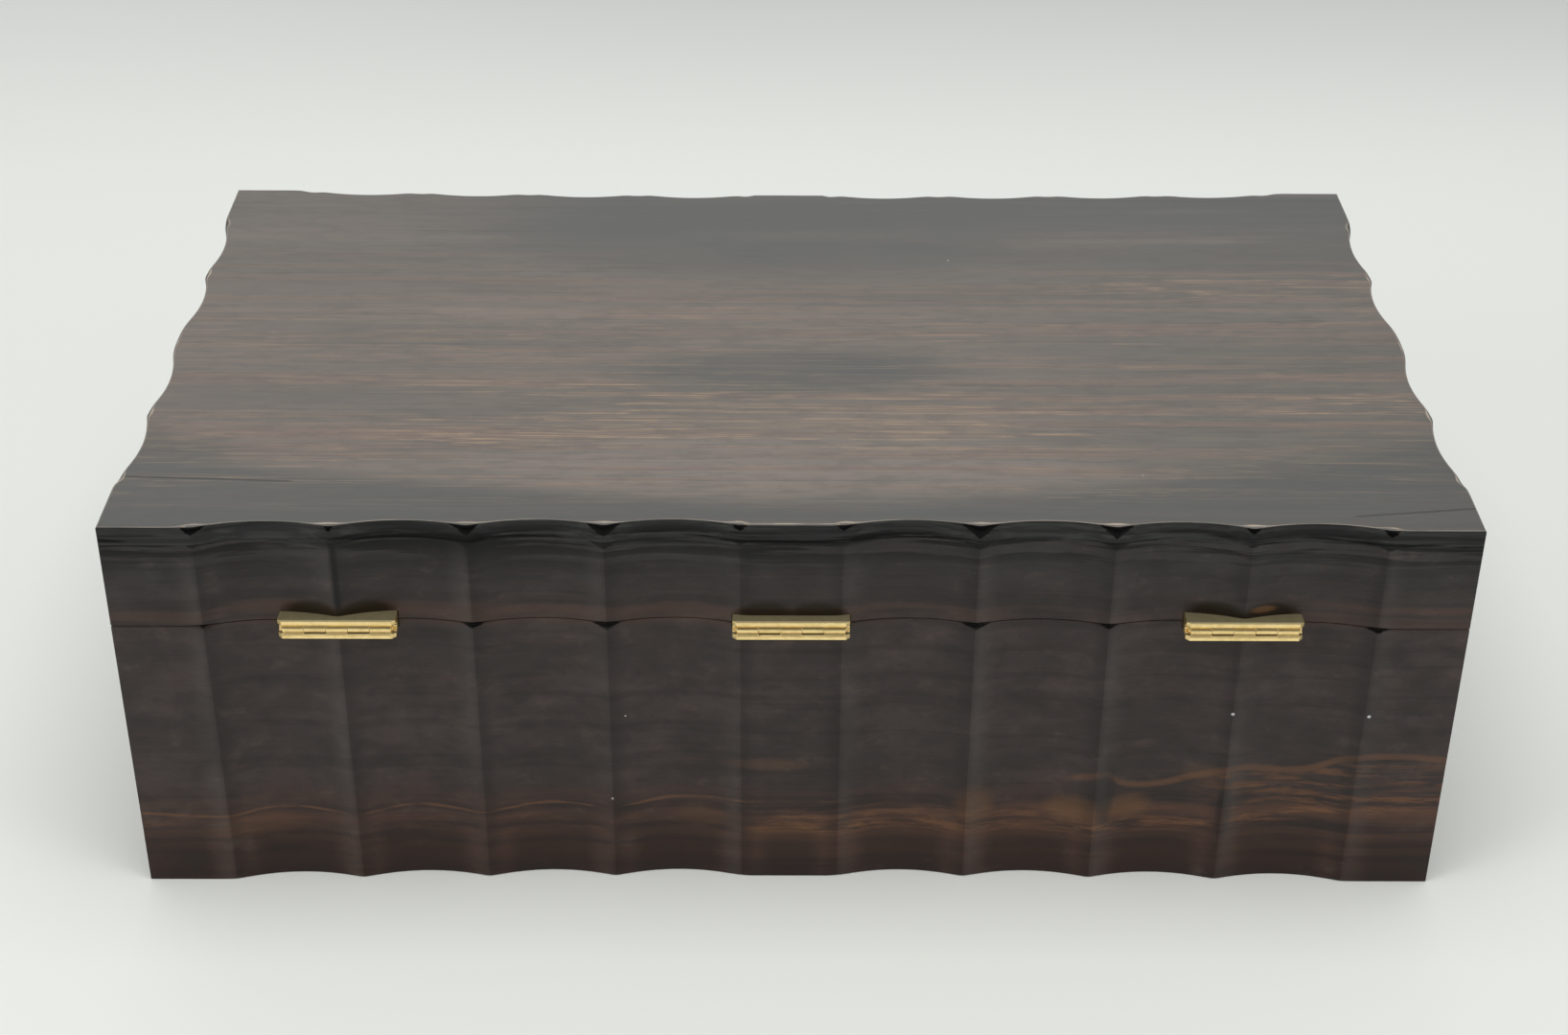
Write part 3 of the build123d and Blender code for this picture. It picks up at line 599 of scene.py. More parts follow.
def top_wood():
    """The lid's board: hazy brown polish, pale near the middle of its back, with a dark lens.

    Ochre hair streaks run over it, and two fine cracks at its ends.
    """
    s = Shader("top_wood")
    place = s.place()
    x = s.axis(place, "X")
    y = s.axis(place, "Y")
    figure = drifted(s, place, 4.0, 10 * MM, 1.6 * MM)
    broad = streaks(s, figure, 2.6, 70.0, 5.0)
    medium = streaks(s, figure, 4.0, 240.0, 6.0)
    thin = streaks(s, figure, 7.0, 800.0, 7.0)
    hair = streaks(s, figure, 14.0, 2300.0, 8.0)
    cloud = s.stretched(place, (16, 30, 16), 5.0, 0.62, (3, 0, 0))

    right = s.between(s.step(x, -0.14, -0.03), 0.6, 1.0)
    far_left = s.times(s.step(x, 0.04, 0.16), 0.8)
    haze = s.either(s.times(s.step(y, -0.118, -0.022), right), far_left)
    wobble = s.times(s.minus(broad, 0.5), 0.03)
    edge = s.plus(y, s.times(x, x), wobble)
    near = s.step(edge, 0.094, 0.109)
    across = s.ratio(s.plus(y, -0.0195, s.times(wobble, 0.7)), 0.0115)
    ends = s.ratio(x, 0.048)
    lens = s.step(s.squares(across, ends), 2.3, 0.3)
    haze = s.times(haze, s.between(near, 1.0, 0.1))
    haze = s.times(haze, s.between(broad, 0.72, 1.1), s.between(cloud, 0.85, 1.1))
    s.color = s.mix(haze, BLUE_BLACK, HAZE)
    bright = blot(s, x, y, (0.0, 0.080), 0.14, 0.024)
    s.coat(SHEEN, bright, s.between(cloud, 0.25, 0.8))

    warm = s.times(s.band(y, -0.05, 0.08, 0.03), s.between(near, 1.0, 0.0))
    s.coat(TAWNY, s.step(medium, 0.46, 0.66), s.between(warm, 0.15, 0.6))
    flames = streaks(s, drifted(s, place, 9.0, 22 * MM, 5 * MM), 4.0, 46.0, 12.0, 4.0)
    mottle = s.step(cloud, 0.36, 0.62)
    s.coat(FAWN, s.step(flames, 0.52, 0.68), s.between(near, 0.4, 0.1), s.between(mottle, 0.5, 1.0))
    s.coat(UMBER, s.step(flames, 0.46, 0.34), s.between(near, 0.4, 0.15), s.between(mottle, 1.0, 0.5))
    grain = s.stretched(place, (90, 320, 90), 5.0, 0.65, (6, 0, 0))
    s.coat(DEEP_UMBER, s.step(grain, 0.55, 0.36), 0.27)
    s.coat(BLUE_BLACK, lens, s.between(mottle, 0.92, 0.72))
    shade = blot(s, x, y, (0.0, -0.078), 0.12, 0.042)
    s.coat(BLUE_BLACK, shade, s.between(mottle, 0.9, 0.6))
    s.coat(THREAD, s.step(thin, 0.45, 0.3), 0.35)
    fine = s.either(
        s.times(s.band(y, 0.034, 0.066, 0.014), s.band(x, -0.07, 0.10, 0.05), 0.75),
        s.times(s.band(y, -0.044, -0.036, 0.008), s.step(x, -0.06, -0.15), 0.8),
        s.times(s.band(y, 0.038, 0.046, 0.008), s.step(x, -0.10, -0.17), 0.9),
        s.times(s.band(y, -0.02, 0.09, 0.02), 0.28),
    )
    grainy = s.between(s.step(grain, 0.40, 0.54), 0.55, 1.15)
    s.coat(OCHRE, s.step(hair, 0.5, 0.66), s.step(medium, 0.34, 0.56), fine, grainy)
    cracks = s.either(*[segment_mark(s, x, y, *crack) for crack in CRACKS])
    s.coat(BLACK, cracks, 0.9)
    s.coat(WORN, worn_edge(s, place, 2.0, 0.93, 0.985))
    dusted(s, place, 2.0)
    relief = s.bump(cracks, -0.3 * MM, 0.8, wood_relief(s, place, thin, hair))
    roughness = s.between(broad, 0.40, 0.46)
    return s.surface(roughness, relief, Specular_IOR_Level=0.5)


def top_side_wood():
    """The edge of the lid's board: blackened, with a painted dark reflection under the arris at the
    ridges.
    """
    s = Shader("top_side_wood")
    place = s.place()
    x = s.axis(place, "X")
    y = s.axis(place, "Y")
    z = s.axis(place, "Z")
    figure = drifted(s, place, 11.0, 2 * MM, 1.5 * MM)
    thin = streaks(s, figure, 9.0, 620.0, 14.0)
    hair = streaks(s, figure, 22.0, 2000.0, 15.0)
    s.color = s.mix(s.times(s.step(thin, 0.4, 0.7), 0.8), COAL, SLATE)
    low = s.step(z, TOP_Z - 1.5 * MM, GLUE_Z + 0.5 * MM)
    s.coat(STREAK_AND_REFLECTION_BLACK, stain(s, figure, 17.0), s.between(low, 0.35, 0.95))
    long_gap = s.plus(ridge_gap(s, x, LONG_PLAN), s.step(s.size(y), 0.11, 0.105))
    short_gap = s.plus(ridge_gap(s, y, SHORT_PLAN), s.step(s.size(x), 0.194, 0.189))
    rim_gap = s.math("MINIMUM", long_gap, short_gap)
    # Painted dark reflection: a black notch under the arris at each ridge
    painted_ridge_reflection(s, TOP_Z - 0.2 * MM, z, rim_gap, 4.2 * MM, 0.8)
    s.coat(WORN, worn_edge(s, place, 2.0, 0.80, 0.985))
    relief = wood_relief(s, place, thin, hair)
    return s.surface(s.between(thin, 0.3, 0.4), relief, Specular_IOR_Level=0.08)


def inner_wood(name, turned, seed):
    """Satin red-brown wood of the fittings."""
    s = Shader(name)
    place = grain_place(s, turned)
    broad = streaks(s, place, 3.0, 60.0, seed)
    medium = streaks(s, place, 6.0, 300.0, seed + 1)
    pores = streaks(s, place, 60.0, 1800.0, seed + 2)
    s.color = s.mix(s.step(broad, 0.35, 0.65), *INNER)
    s.coat(INNER_STREAK, s.step(medium, 0.5, 0.72), 0.6)
    s.coat(INNER_PORE, s.step(pores, 0.6, 0.72), 0.6)
    s.coat(INNER_WORN, worn_edge(s, place, seed, 0.55, 0.93), 0.4)
    roughness = s.between(broad, 0.36, 0.5)
    relief = s.bump(pores, 0.04 * MM, 0.5, s.bump(medium, 0.05 * MM, 0.4))
    return s.surface(roughness, relief)


def bottom_wood():
    """Plain brown board of the underside, dusty and unpolished."""
    s = Shader("bottom_wood")
    place = s.place()
    broad = streaks(s, place, 2.5, 40.0, 21.0)
    pores = streaks(s, place, 50.0, 1500.0, 22.0)
    s.color = s.mix(s.step(broad, 0.35, 0.65), *BOTTOM)
    s.coat(BOTTOM_PORE, s.step(pores, 0.58, 0.72), 0.6)
    dust = s.step(s.noise(place, 24.0, 5.0, 0.65), 0.5, 0.75)
    s.coat(BOTTOM_DUST, dust, 0.3)
    relief = s.bump(pores, 0.06 * MM, 0.6, s.bump(broad, 0.2 * MM, 0.4))
    return s.surface(s.between(dust, 0.6, 0.78), relief)


def metal(name, clean, tarnish, dirt, gloss, dull):
    """Brass, tarnished in patches, with brown spots, fine scratches and dull upward faces.

    The hinge leaves' upward faces are dark with grime behind their thin outer line.
    """
    s = Shader(name)
    place = s.place()
    cloud = s.noise(place, 420.0, 4.0, 0.6)
    spots = s.noise(place, 1500.0, 3.0)
    s.color = s.mix(s.step(cloud, 0.4, 0.7), clean, tarnish)
    s.coat(dirt, s.step(spots, 0.66, 0.8), 0.6)
    up = s.times(s.step(s.axis(s.normal(), "Z"), 0.9, 0.99), dull)
    s.coat(DULL_BRASS, up)
    scratches = s.stretched(place, (160, 5200, 5200), 2.0)
    roughness = s.plus(gloss, s.times(cloud, 0.2), s.times(up, 0.3))
    relief = s.bump(scratches, 0.02 * MM, 0.5, s.bump(spots, 0.03 * MM, 0.4))
    y = s.axis(place, "Y")
    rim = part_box("hinge_lid_leaf_centre")[1].y
    behind = s.times(up, s.step(y, rim - 0.7 * MM, rim - 1.3 * MM), s.step(y, 0.100, 0.105))
    s.coat(HINGE_GRIME, behind, s.between(cloud, 0.75, 0.95))
    return s.surface(roughness, relief, Metallic=s.between(up, 1.0, 0.15))


def glass():
    s = Shader("glass", GLASS)
    relief = s.bump(s.noise(s.place(), 90.0, 2.0), 0.1 * MM, 0.3)
    return s.surface(0.03, relief, Transmission_Weight=1.0, IOR=1.5, Specular_IOR_Level=0.5)


def leather(name, ground, worn):
    """Pebbled hide, rubbed paler where hands rest, with a pressed line round its border."""
    s = Shader(name)
    place = s.place()
    grain = s.cells(place, 900.0)
    rubbed = s.step(s.noise(place, 11.0, 4.0), 0.46, 0.68)
    s.color = s.mix(s.times(rubbed, 0.55), ground, worn)
    s.coat(tuple(0.6 * c for c in ground), s.step(grain, 0.3, 0.62))
    low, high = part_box("writing_leather")
    margin = 7 * MM
    line = 0.5 * MM
    reach_x = high.x - margin
    centre_y = (low.y + high.y) / 2
    reach_y = (high.y - low.y) / 2 - margin
    x = s.size(s.axis(place, "X"))
    y = s.size(s.minus(s.axis(place, "Y"), centre_y))
    pressed = s.either(
        s.times(s.band(x, reach_x - line, reach_x, 0.2 * MM), s.step(y, reach_y + line, reach_y)),
        s.times(s.band(y, reach_y - line, reach_y, 0.2 * MM), s.step(x, reach_x + line, reach_x)),
    )
    s.coat(GILT, pressed, 0.75)
    relief = s.bump(s.minus(s.times(grain, -0.5), pressed), 0.12 * MM, 0.6)
    return s.surface(s.between(rubbed, 0.62, 0.46), relief)


def cloth():
    """Short-napped lining, brushed in patches."""
    s = Shader("lining_cloth")
    place = s.place()
    nap = s.noise(place, 2600.0, 2.0)
    brushed = s.step(s.noise(place, 13.0, 4.0), 0.3, 0.72)
    s.color = s.mix(brushed, *CLOTH)
    s.coat(NAP, s.step(nap, 0.5, 0.8), 0.5)
    relief = s.bump(nap, 0.2 * MM, 0.7)
    return s.surface(0.92, relief, Sheen_Weight=0.5, Sheen_Roughness=0.4)


# Mesh tools


def placed(name, data):
    """A new object of the scene."""
    made = bpy.data.objects.new(name, data)
    bpy.context.scene.collection.objects.link(made)
    return made


def finished(mesh, name, body, material, stands_for, sharp=32):
    """A shown piece from a mesh, smooth except at edges sharper than the angle in degrees."""
    mesh.polygons.foreach_set("use_smooth", [True] * len(mesh.polygons))
    mesh.set_sharp_from_angle(angle=math.radians(sharp))
    mesh.materials.clear()
    mesh.materials.append(material)
    piece = placed(name, mesh)
    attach(piece, body)
    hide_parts(*stands_for)
    return piece


def mesh_of(points, faces):
    mesh = bpy.data.meshes.new("mesh")
    mesh.from_pydata([tuple(p) for p in points], [], faces)
    built = bmesh.new()
    built.from_mesh(mesh)
    bmesh.ops.remove_doubles(built, verts=built.verts, dist=1e-6)
    bmesh.ops.dissolve_degenerate(built, edges=built.edges, dist=1e-7)
    bmesh.ops.recalc_face_normals(built, faces=built.faces)
    built.to_mesh(mesh)
    built.free()
    return mesh


def combined(mesh, other, operation):
    """The mesh joined with or cut by another one."""
    shapes = [placed("shape", data) for data in (mesh, other)]
    tool = shapes[0].modifiers.new("tool", "BOOLEAN")
    tool.operation = operation
    tool.solver = "EXACT"
    tool.object = shapes[1]
    graph = bpy.context.evaluated_depsgraph_get()
    made = bpy.data.meshes.new_from_object(shapes[0].evaluated_get(graph))
    for shape in shapes:
        bpy.data.objects.remove(shape)
    return made


def joined(meshes):
    """Several closed meshes as one."""
    built = bmesh.new()
    for mesh in meshes:
        built.from_mesh(mesh)
    made = bpy.data.meshes.new("joined")
    built.to_mesh(made)
    built.free()
    return made


def block(x0, x1, y0, y1, z0, z1):
    points = [(x, y, z) for z in (z0, z1) for y in (y0, y1) for x in (x0, x1)]
    faces = [(0, 2, 3, 1), (4, 5, 7, 6), (0, 1, 5, 4), (2, 6, 7, 3), (0, 4, 6, 2), (1, 3, 7, 5)]
    return mesh_of(points, faces)


def steps(count, looped):
    return [(i, (i + 1) % count) for i in range(count if looped else count - 1)]


def net(rows, columns, looped_rows=False, looped_columns=False):
    """Faces between rows of points, with the last row or column joined to the first if looped."""
    return [
        (r * columns + c, r * columns + d, q * columns + d, q * columns + c)
        for r, q in steps(rows, looped_rows)
        for c, d in steps(columns, looped_columns)
    ]


def lathed(profile, sides=40):
    """A profile of radius and height, turned about Z."""
    points = []
    for radius, height in profile:
        ring = max(radius, 1e-7)
        turns = [2 * math.pi * i / sides for i in range(sides)]
        points += [(ring * math.cos(t), ring * math.sin(t), height) for t in turns]
    rows = len(profile)
    faces = net(rows, sides, looped_columns=True)
    faces.append(tuple(range(sides)))
    faces.append(tuple(range(rows * sides - 1, (rows - 1) * sides - 1, -1)))
    return mesh_of(points, faces)


# Fluted walls


class Plan:
    """Depth of one side's worn outside behind its flat corner lands."""

    def __init__(self, half, spec, swell):
        self.half = half
        self.hollow = spec["hollow"]
        self.reach = half - spec["corner"]
        self.centre = spec["centre"] / 2
        self.swell = swell
        self.pitch = (self.reach - self.centre) / spec["flutes"]
        self.ridges = [self.centre + i * self.pitch for i in range(spec["flutes"] + 1)]
        count = round(2 * half / FINE_STEP)
        self.fine = np.linspace(-half, half, count + 1)
        self.along = self.columns()
        self.depth = np.interp(self.along, self.fine, self.worn())

    def columns(self):
        """Places along the side where the mesh has points: close together at the ridges."""
        around = np.arange(-RIDGE_ROOM, RIDGE_ROOM, RIDGE_STEP)
        near = [s * ridge + around for ridge in self.ridges for s in (-1, 1)]
        evenly = np.arange(-self.half, self.half, COLUMN_STEP)
        places = np.unique(np.round(np.concatenate([evenly, *near]) / RIDGE_STEP)) * RIDGE_STEP
        places = places[np.abs(places) < self.half - RIDGE_STEP / 2]
        return np.concatenate([[-self.half], places, [self.half]])

    def ridge_depth(self, along):
        return self.hollow * (1 - np.minimum(along / self.reach, 1.0) ** 2)

    def cut_depth(self, along):
        """The outside as it was planed."""
        along = np.abs(along)
        depth = np.where(along < self.centre, self.ridge_depth(self.centre), 0.0)
        radius = ((self.pitch / 2) ** 2 + FLUTE_DEPTH**2) / (2 * FLUTE_DEPTH)
        for start, end in zip(self.ridges, self.ridges[1:]):
            inside = (along >= start) & (along < end)
            share = (along - start) / self.pitch
            chord = self.ridge_depth(start) * (1 - share) + self.ridge_depth(end) * share
            off = np.clip(along - (start + end) / 2, -radius, radius)
            sag = np.sqrt(radius**2 - off**2) - (radius - FLUTE_DEPTH)
            depth = np.where(inside, chord + sag, depth)
        return self.swelled(along, depth) if self.swell else depth

    def swelled(self, along, depth):
        """The same with a swell over the middle, tangent to the two flutes beside it."""
        ridge_at = self.ridges[1]
        valley_at = (self.ridges[0] + ridge_at) / 2
        low = self.ridge_depth(ridge_at)
        peak = self.ridge_depth(0.0)
        valley = (low + self.ridge_depth(self.centre)) / 2 + FLUTE_DEPTH
        rise = valley - low
        flute = ((ridge_at - valley_at) ** 2 + rise**2) / (2 * rise)
        offset = peak - valley + flute
        crown = (valley_at**2 + offset**2 - flute**2) / (2 * (flute - offset))
        tangent = valley_at * crown / (crown + flute)
        over = peak + crown - np.sqrt(np.maximum(crown**2 - along**2, 0))
        into = valley - flute + np.sqrt(np.maximum(flute**2 - (along - valley_at) ** 2, 0))
        depth = np.where(along < ridge_at, into, depth)
        return np.where(along < tangent, over, depth)

    def blurred(self, depth, wear):
        reach = int(4 * wear / FINE_STEP) + 1
        steps = np.arange(-reach, reach + 1) * FINE_STEP
        weights = np.exp(-((steps / wear) ** 2) / 2)
        padded = np.pad(depth, reach, mode="edge")
        return np.convolve(padded, weights / weights.sum(), mode="valid")

    def worn(self):
        sharp = self.cut_depth(self.fine)
        ridge = self.blurred(sharp, RIDGE_WEAR)
        if self.swell:
            return ridge
        shoulder = self.blurred(sharp, SHOULDER_WEAR)
        near = np.exp(-(((np.abs(self.fine) - self.centre) / (2 * SHOULDER_WEAR)) ** 2))
        return ridge * (1 - near) + shoulder * near

    def rubbed(self):
        """How hard the edges above and below are rubbed: most on ridges, least in flutes."""
        along = np.abs(self.along)
        first = 1 if self.swell else 0
        near = np.zeros_like(along)
        for ridge in self.ridges[first:]:
            near = np.maximum(near, np.exp(-(((along - ridge) / RIDGE_SPREAD) ** 2)))
        if not self.swell:
            near = np.maximum(near, 0.5 * (along < self.centre))
        else:
            near = np.maximum(near, 0.4 * np.exp(-((along / self.centre) ** 2)))
        return near


LONG_PLAN = Plan(HALF_X, LONG, False)
SHORT_PLAN = Plan(HALF_Y, SHORT, True)
SIDES = {
    "front": (LONG_PLAN, HALF_Y, 0),
    "right": (SHORT_PLAN, HALF_X, 90),
    "back": (LONG_PLAN, HALF_Y, 180),
    "left": (SHORT_PLAN, HALF_X, 270),
}


def edge_rows(low, high, low_edge, high_edge, rubbed):
    """Rows of (extra depth, height) up a board's outside, its lower and upper edge rounded.

    Each value is an array with one number for each column, like rubbed.
    """
    turns = np.linspace(0, math.pi / 2, EDGE_ROWS + 1)
    radius = low_edge[0] + low_edge[1] * rubbed
    rows = [(radius + EDGE_SUPPORT, low + 0 * rubbed)]
    for turn in turns[::-1]:
        rows.append((radius * (1 - math.cos(turn)), low + radius * (1 - math.sin(turn))))
    rows.append((0 * rubbed, low + radius + EDGE_SUPPORT))
    radius = high_edge[0] + high_edge[1] * rubbed
    rows.append((0 * rubbed, high - radius - EDGE_SUPPORT))
    for turn in turns:
        rows.append((radius * (1 - math.cos(turn)), high - radius * (1 - math.sin(turn))))
    rows.append((radius + EDGE_SUPPORT, high + 0 * rubbed))
    return rows


def on_side(plan, face, turn, depth, height):
    """Points in the part's frame, kept inside the mitres."""
    along = np.clip(plan.along, depth - plan.half, plan.half - depth)
    across = depth - face
    cos, sin = round(math.cos(math.radians(turn))), round(math.sin(math.radians(turn)))
    heights = height + 0 * along
    return np.column_stack((along * cos - across * sin, along * sin + across * cos, heights))


def wall_mesh(side, low, high, low_edge, high_edge):
    """A mitred wall: its fluted outside, its edges and its flat inside."""
    plan, face, turn = SIDES[side]
    rows = edge_rows(low, high, low_edge, high_edge, plan.rubbed())
    rings = [on_side(plan, face, turn, plan.depth + extra, height) for extra, height in rows]
    inside = np.full_like(plan.along, WALL)
    rings.append(on_side(plan, face, turn, inside, high))
    rings.append(on_side(plan, face, turn, inside, low))
    columns = len(plan.along)
    count = len(rings)
    points = np.concatenate(rings)
    faces = net(count, columns, looped_rows=True)
    faces.append(tuple(r * columns for r in range(count)))
    faces.append(tuple(r * columns + columns - 1 for r in reversed(range(count))))
    return mesh_of(points, faces)


def top_mesh():
    """The lid's board with the whole fluted outline and a worn upper edge."""
    sides = []
    for plan, face, turn in SIDES.values():
        rows = edge_rows(GLUE_Z, TOP_Z, JOINT_EDGE, TOP_EDGE, plan.rubbed())
        sides.append([on_side(plan, face, turn, plan.depth + extra, z)[:-1] for extra, z in rows])
    loops = [np.concatenate(ring) for ring in zip(*sides)]
    size = len(loops[0])
    points = np.concatenate(loops)
    faces = net(len(loops), size, looped_columns=True)
    faces.append(tuple(reversed(range(size))))
    faces.append(tuple(range((len(loops) - 1) * size, len(loops) * size)))
    return mesh_of(points, faces)


# Rooms cut in the walls for what is let into them


def with_rooms(mesh, rooms):
    for room in rooms:
        mesh = combined(mesh, room, "DIFFERENCE")
    return mesh


def leaf_rooms(leaf):
    rooms = []
    for name in HINGES:
        low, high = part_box(leaf + name)
        rooms.append(block(low.x - END_GAP, high.x + END_GAP, low.y, high.y, low.z, high.z))
    return rooms


def lock_rooms():
    """The lock's box, back plate and selvedge, the way to its keyhole and the escutcheon's recess."""
    low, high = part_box("lock_case")
    plate_low, plate_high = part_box("keyhole_escutcheon")
    middle = (plate_low.z + plate_high.z) / 2
    over = high.z + MM
    selvedge = block(low.x, high.x, low.y, high.y + MM, high.z - LOCK_PLATE, over)
    plate = block(low.x, high.x, high.y - LOCK_PLATE, high.y + MM, low.z, over)
    box = block(-LOCK_BOX_HALF, LOCK_BOX_HALF, low.y, high.y + MM, high.z - LOCK_BOX_DROP, over)
    bottom, top = middle - KEYWAY_DOWN, middle + KEYWAY_UP
    way = block(-KEYWAY_HALF, KEYWAY_HALF, plate_low.y, low.y + MM, bottom, top)
    half_x = plate_high.x
    half_z = plate_high.z - middle
    corners = [(half_x, 0), (0, half_z), (-half_x, 0), (0, -half_z)]
    depths = (plate_low.y - MM, plate_high.y)
    points = [(x, y, middle + z) for y in depths for x, z in corners]
    sides = [(i, (i + 1) % 4, (i + 1) % 4 + 4, i + 4) for i in range(4)]
    recess = mesh_of(points, [(0, 1, 2, 3), (7, 6, 5, 4), *sides])
    return [selvedge, plate, box, way, recess]


def link_room():
    low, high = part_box("lock_link_plate")
    return block(low.x, high.x, low.y, high.y + MM, lid_low.z - MM, high.z)


def dress_walls():
    """The eight walls and the top, each in the part's own outline with worn edges."""
    floor_low, floor_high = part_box("base_bottom_board")
    bottom = block(floor_low.x, floor_high.x, floor_low.y, floor_high.y, -MM, floor_high.z)
    rooms = {
        "base_back": leaf_rooms("hinge_base_leaf_"),
        "base_front": lock_rooms(),
        "lid_back": leaf_rooms("hinge_lid_leaf_"),
        "lid_front": [link_room()],
    }
    for number, side in enumerate(SIDES):
        across = side in ("left", "right")
        seed = 11.0 + 3.0 * number
        plan = SIDES[side][0]
        back = side == "back"
        base = "base_" + side
        lid = "lid_" + side
        wood = wall_wood(base + "_wood", across, seed, plan, seen=back)
        mesh = wall_mesh(side, base_low.z, base_high.z, FOOT_EDGE, RIM_EDGE)
        mesh = with_rooms(mesh, [bottom, *rooms.get(base, [])])
        finished(mesh, "fluted_" + base, "case", wood, [base + "_wall"])
        wood = wall_wood(lid + "_wood", across, seed, plan, True, HINGE_CRACK_X if back else None)
        mesh = wall_mesh(side, lid_low.z, lid_high.z, LID_RIM_EDGE, JOINT_EDGE)
        mesh = with_rooms(mesh, rooms.get(lid, []))
        finished(mesh, "fluted_" + lid, "lid", wood, [lid + "_wall"])
    board = finished(top_mesh(), "fluted_top", "lid", top_wood(), ["lid_top_board"])
    board.data.materials.append(top_side_wood())
    for polygon in board.data.polygons:
        polygon.material_index = int(abs(polygon.normal.z) < TOP_FACE_SLOPE)


# Fittings that keep the part's own shape, with eased edges


def eased(name, width, material):
    """Rounds a CAD node's edges with modifiers and gives it its material."""
    shape = nodes[name]
    weld = shape.modifiers.new("weld", "WELD")
    weld.merge_threshold = 2e-6
    flat = shape.modifiers.new("flat", "DECIMATE")
    flat.decimate_type = "DISSOLVE"
    flat.angle_limit = math.radians(1.0)
    edge = shape.modifiers.new("edge", "BEVEL")
    edge.width = width
    edge.segments = 2
    edge.limit_method = "ANGLE"
    edge.angle_limit = math.radians(35)
    shape.modifiers.new("even", "WEIGHTED_NORMAL").keep_sharp = True
    shape.data.materials.clear()
    shape.data.materials.append(material)
    for polygon in shape.data.polygons:
        polygon.use_smooth = True


def ease_fittings():
    red = inner_wood("fitting_wood", False, 3.0)
    red_turned = inner_wood("fitting_wood_turned", True, 5.0)
    tray_wood = inner_wood("tray_wood", False, 8.0)
    board_wood = inner_wood("board_wood", False, 13.0)
    bright = metal("brass", *BRASS, 0.24, 0.9)
    wooden = {
        red: ["long_partition", "board_ledge_front", "board_ledge_back"],
        red_turned: ["board_ledge_left", "board_ledge_right"],
        tray_wood: ["pen_tray"],
        board_wood: ["writing_board", "inkwell_floor_left", "inkwell_floor_right"],
        bottom_wood(): ["base_bottom_board"],
    }
    for side in ("left", "right"):
        wooden[red_turned] += ["inkwell_partition_" + side, "tray_ledge_" + side]
        for part in ("inkwell_collar_", "inkwell_cap_"):
            eased(part + side, CAP_EDGE, bright)
        eased("inkwell_cap_pin_" + side, CAP_PIN_EDGE, bright)
        eased("inkwell_bottle_" + side, GLASS_EDGE, glass())
    for material, names in wooden.items():
        for name in names:
            eased(name, WOOD_EDGE, material)
    for name in ("lock_case", "lock_bolt", "lock_link_plate", "keyhole_escutcheon"):
        eased(name, LEAF_EDGE, bright)
    for name in HINGES:
        for part in ("hinge_lid_leaf_", "hinge_base_leaf_"):
            eased(part + name, LEAF_EDGE, bright)
        eased("hinge_pin_" + name, PIN_EDGE, bright)


# Screws


def screw_mesh(length, slot_turn):
    """A slotted countersunk screw whose head's face is at z = 0, pointing down."""
    head = [(0, SCREW_PROUD), (SCREW_HEAD - 0.1 * MM, SCREW_PROUD), (SCREW_HEAD, -0.08 * MM)]
    neck = [(SCREW_SHANK, -1.2 * MM), (SCREW_SHANK, -0.55 * length)]
    thread = []
    pitch = 0.4 * length / THREAD_TURNS
    for i in range(THREAD_TURNS):
        top = -0.55 * length - i * pitch
        core = SCREW_SHANK * (0.8 - 0.08 * i)
        thread += [(core, top - 0.2 * pitch), (core + 0.22 * MM, top - 0.6 * pitch)]
    mesh = lathed(head + neck + thread + [(0.05 * MM, -length)])
    cutter = block(-2 * SCREW_HEAD, 2 * SCREW_HEAD, -SLOT_HALF, SLOT_HALF, -SLOT_DEPTH, MM)
    cutter.transform(Matrix.Rotation(slot_turn, 4, "Z"))
    return combined(mesh, cutter, "DIFFERENCE")


def screw_group(name, node, body, length, spots, material):
    """All the screws of one node, heads up in the case and down in the lid, slots turned apart."""
    in_case = body == "case"
    z = base_high.z if in_case else lid_low.z
    turn = Matrix.Identity(4) if in_case else Matrix.Rotation(math.pi, 4, "X")
    meshes = []
    for i, (x, y) in enumerate(spots):
        mesh = screw_mesh(length, math.radians(37.0 + 71.0 * i))
        mesh.transform(Matrix.Translation((x, y, z)) @ turn)
        meshes.append(mesh)
    finished(joined(meshes), name, body, material, [node])


def dress_screws():
    steel = metal("screw_brass", *SCREW_BRASS, 0.26, 0.2)
    leaf_spots = []
    for name in HINGES:
        low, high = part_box("hinge_pin_" + name)
        x = (low.x + high.x) / 2
        y = (low.y + high.y) / 2 - LEAF_SCREW_IN
        leaf_spots += [(x + s * LEAF_SCREW_APART, y) for s in (-1, 1)]
    low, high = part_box("lock_screws")
    lock_spots = [(s * LOCK_SCREW_X, (low.y + high.y) / 2) for s in (-1, 1)]
    screw_group("base_leaf_screws", "hinge_base_screws", "case", LONG_SCREW, leaf_spots, steel)
    screw_group("lid_leaf_screws", "hinge_lid_screws", "lid", LONG_SCREW, leaf_spots, steel)
    screw_group("selvedge_screws", "lock_screws", "case", SHORT_SCREW, lock_spots, steel)
    screw_group("hook_plate_screws", "link_plate_screws", "lid", SHORT_SCREW, lock_spots, steel)


# Leather and cloth


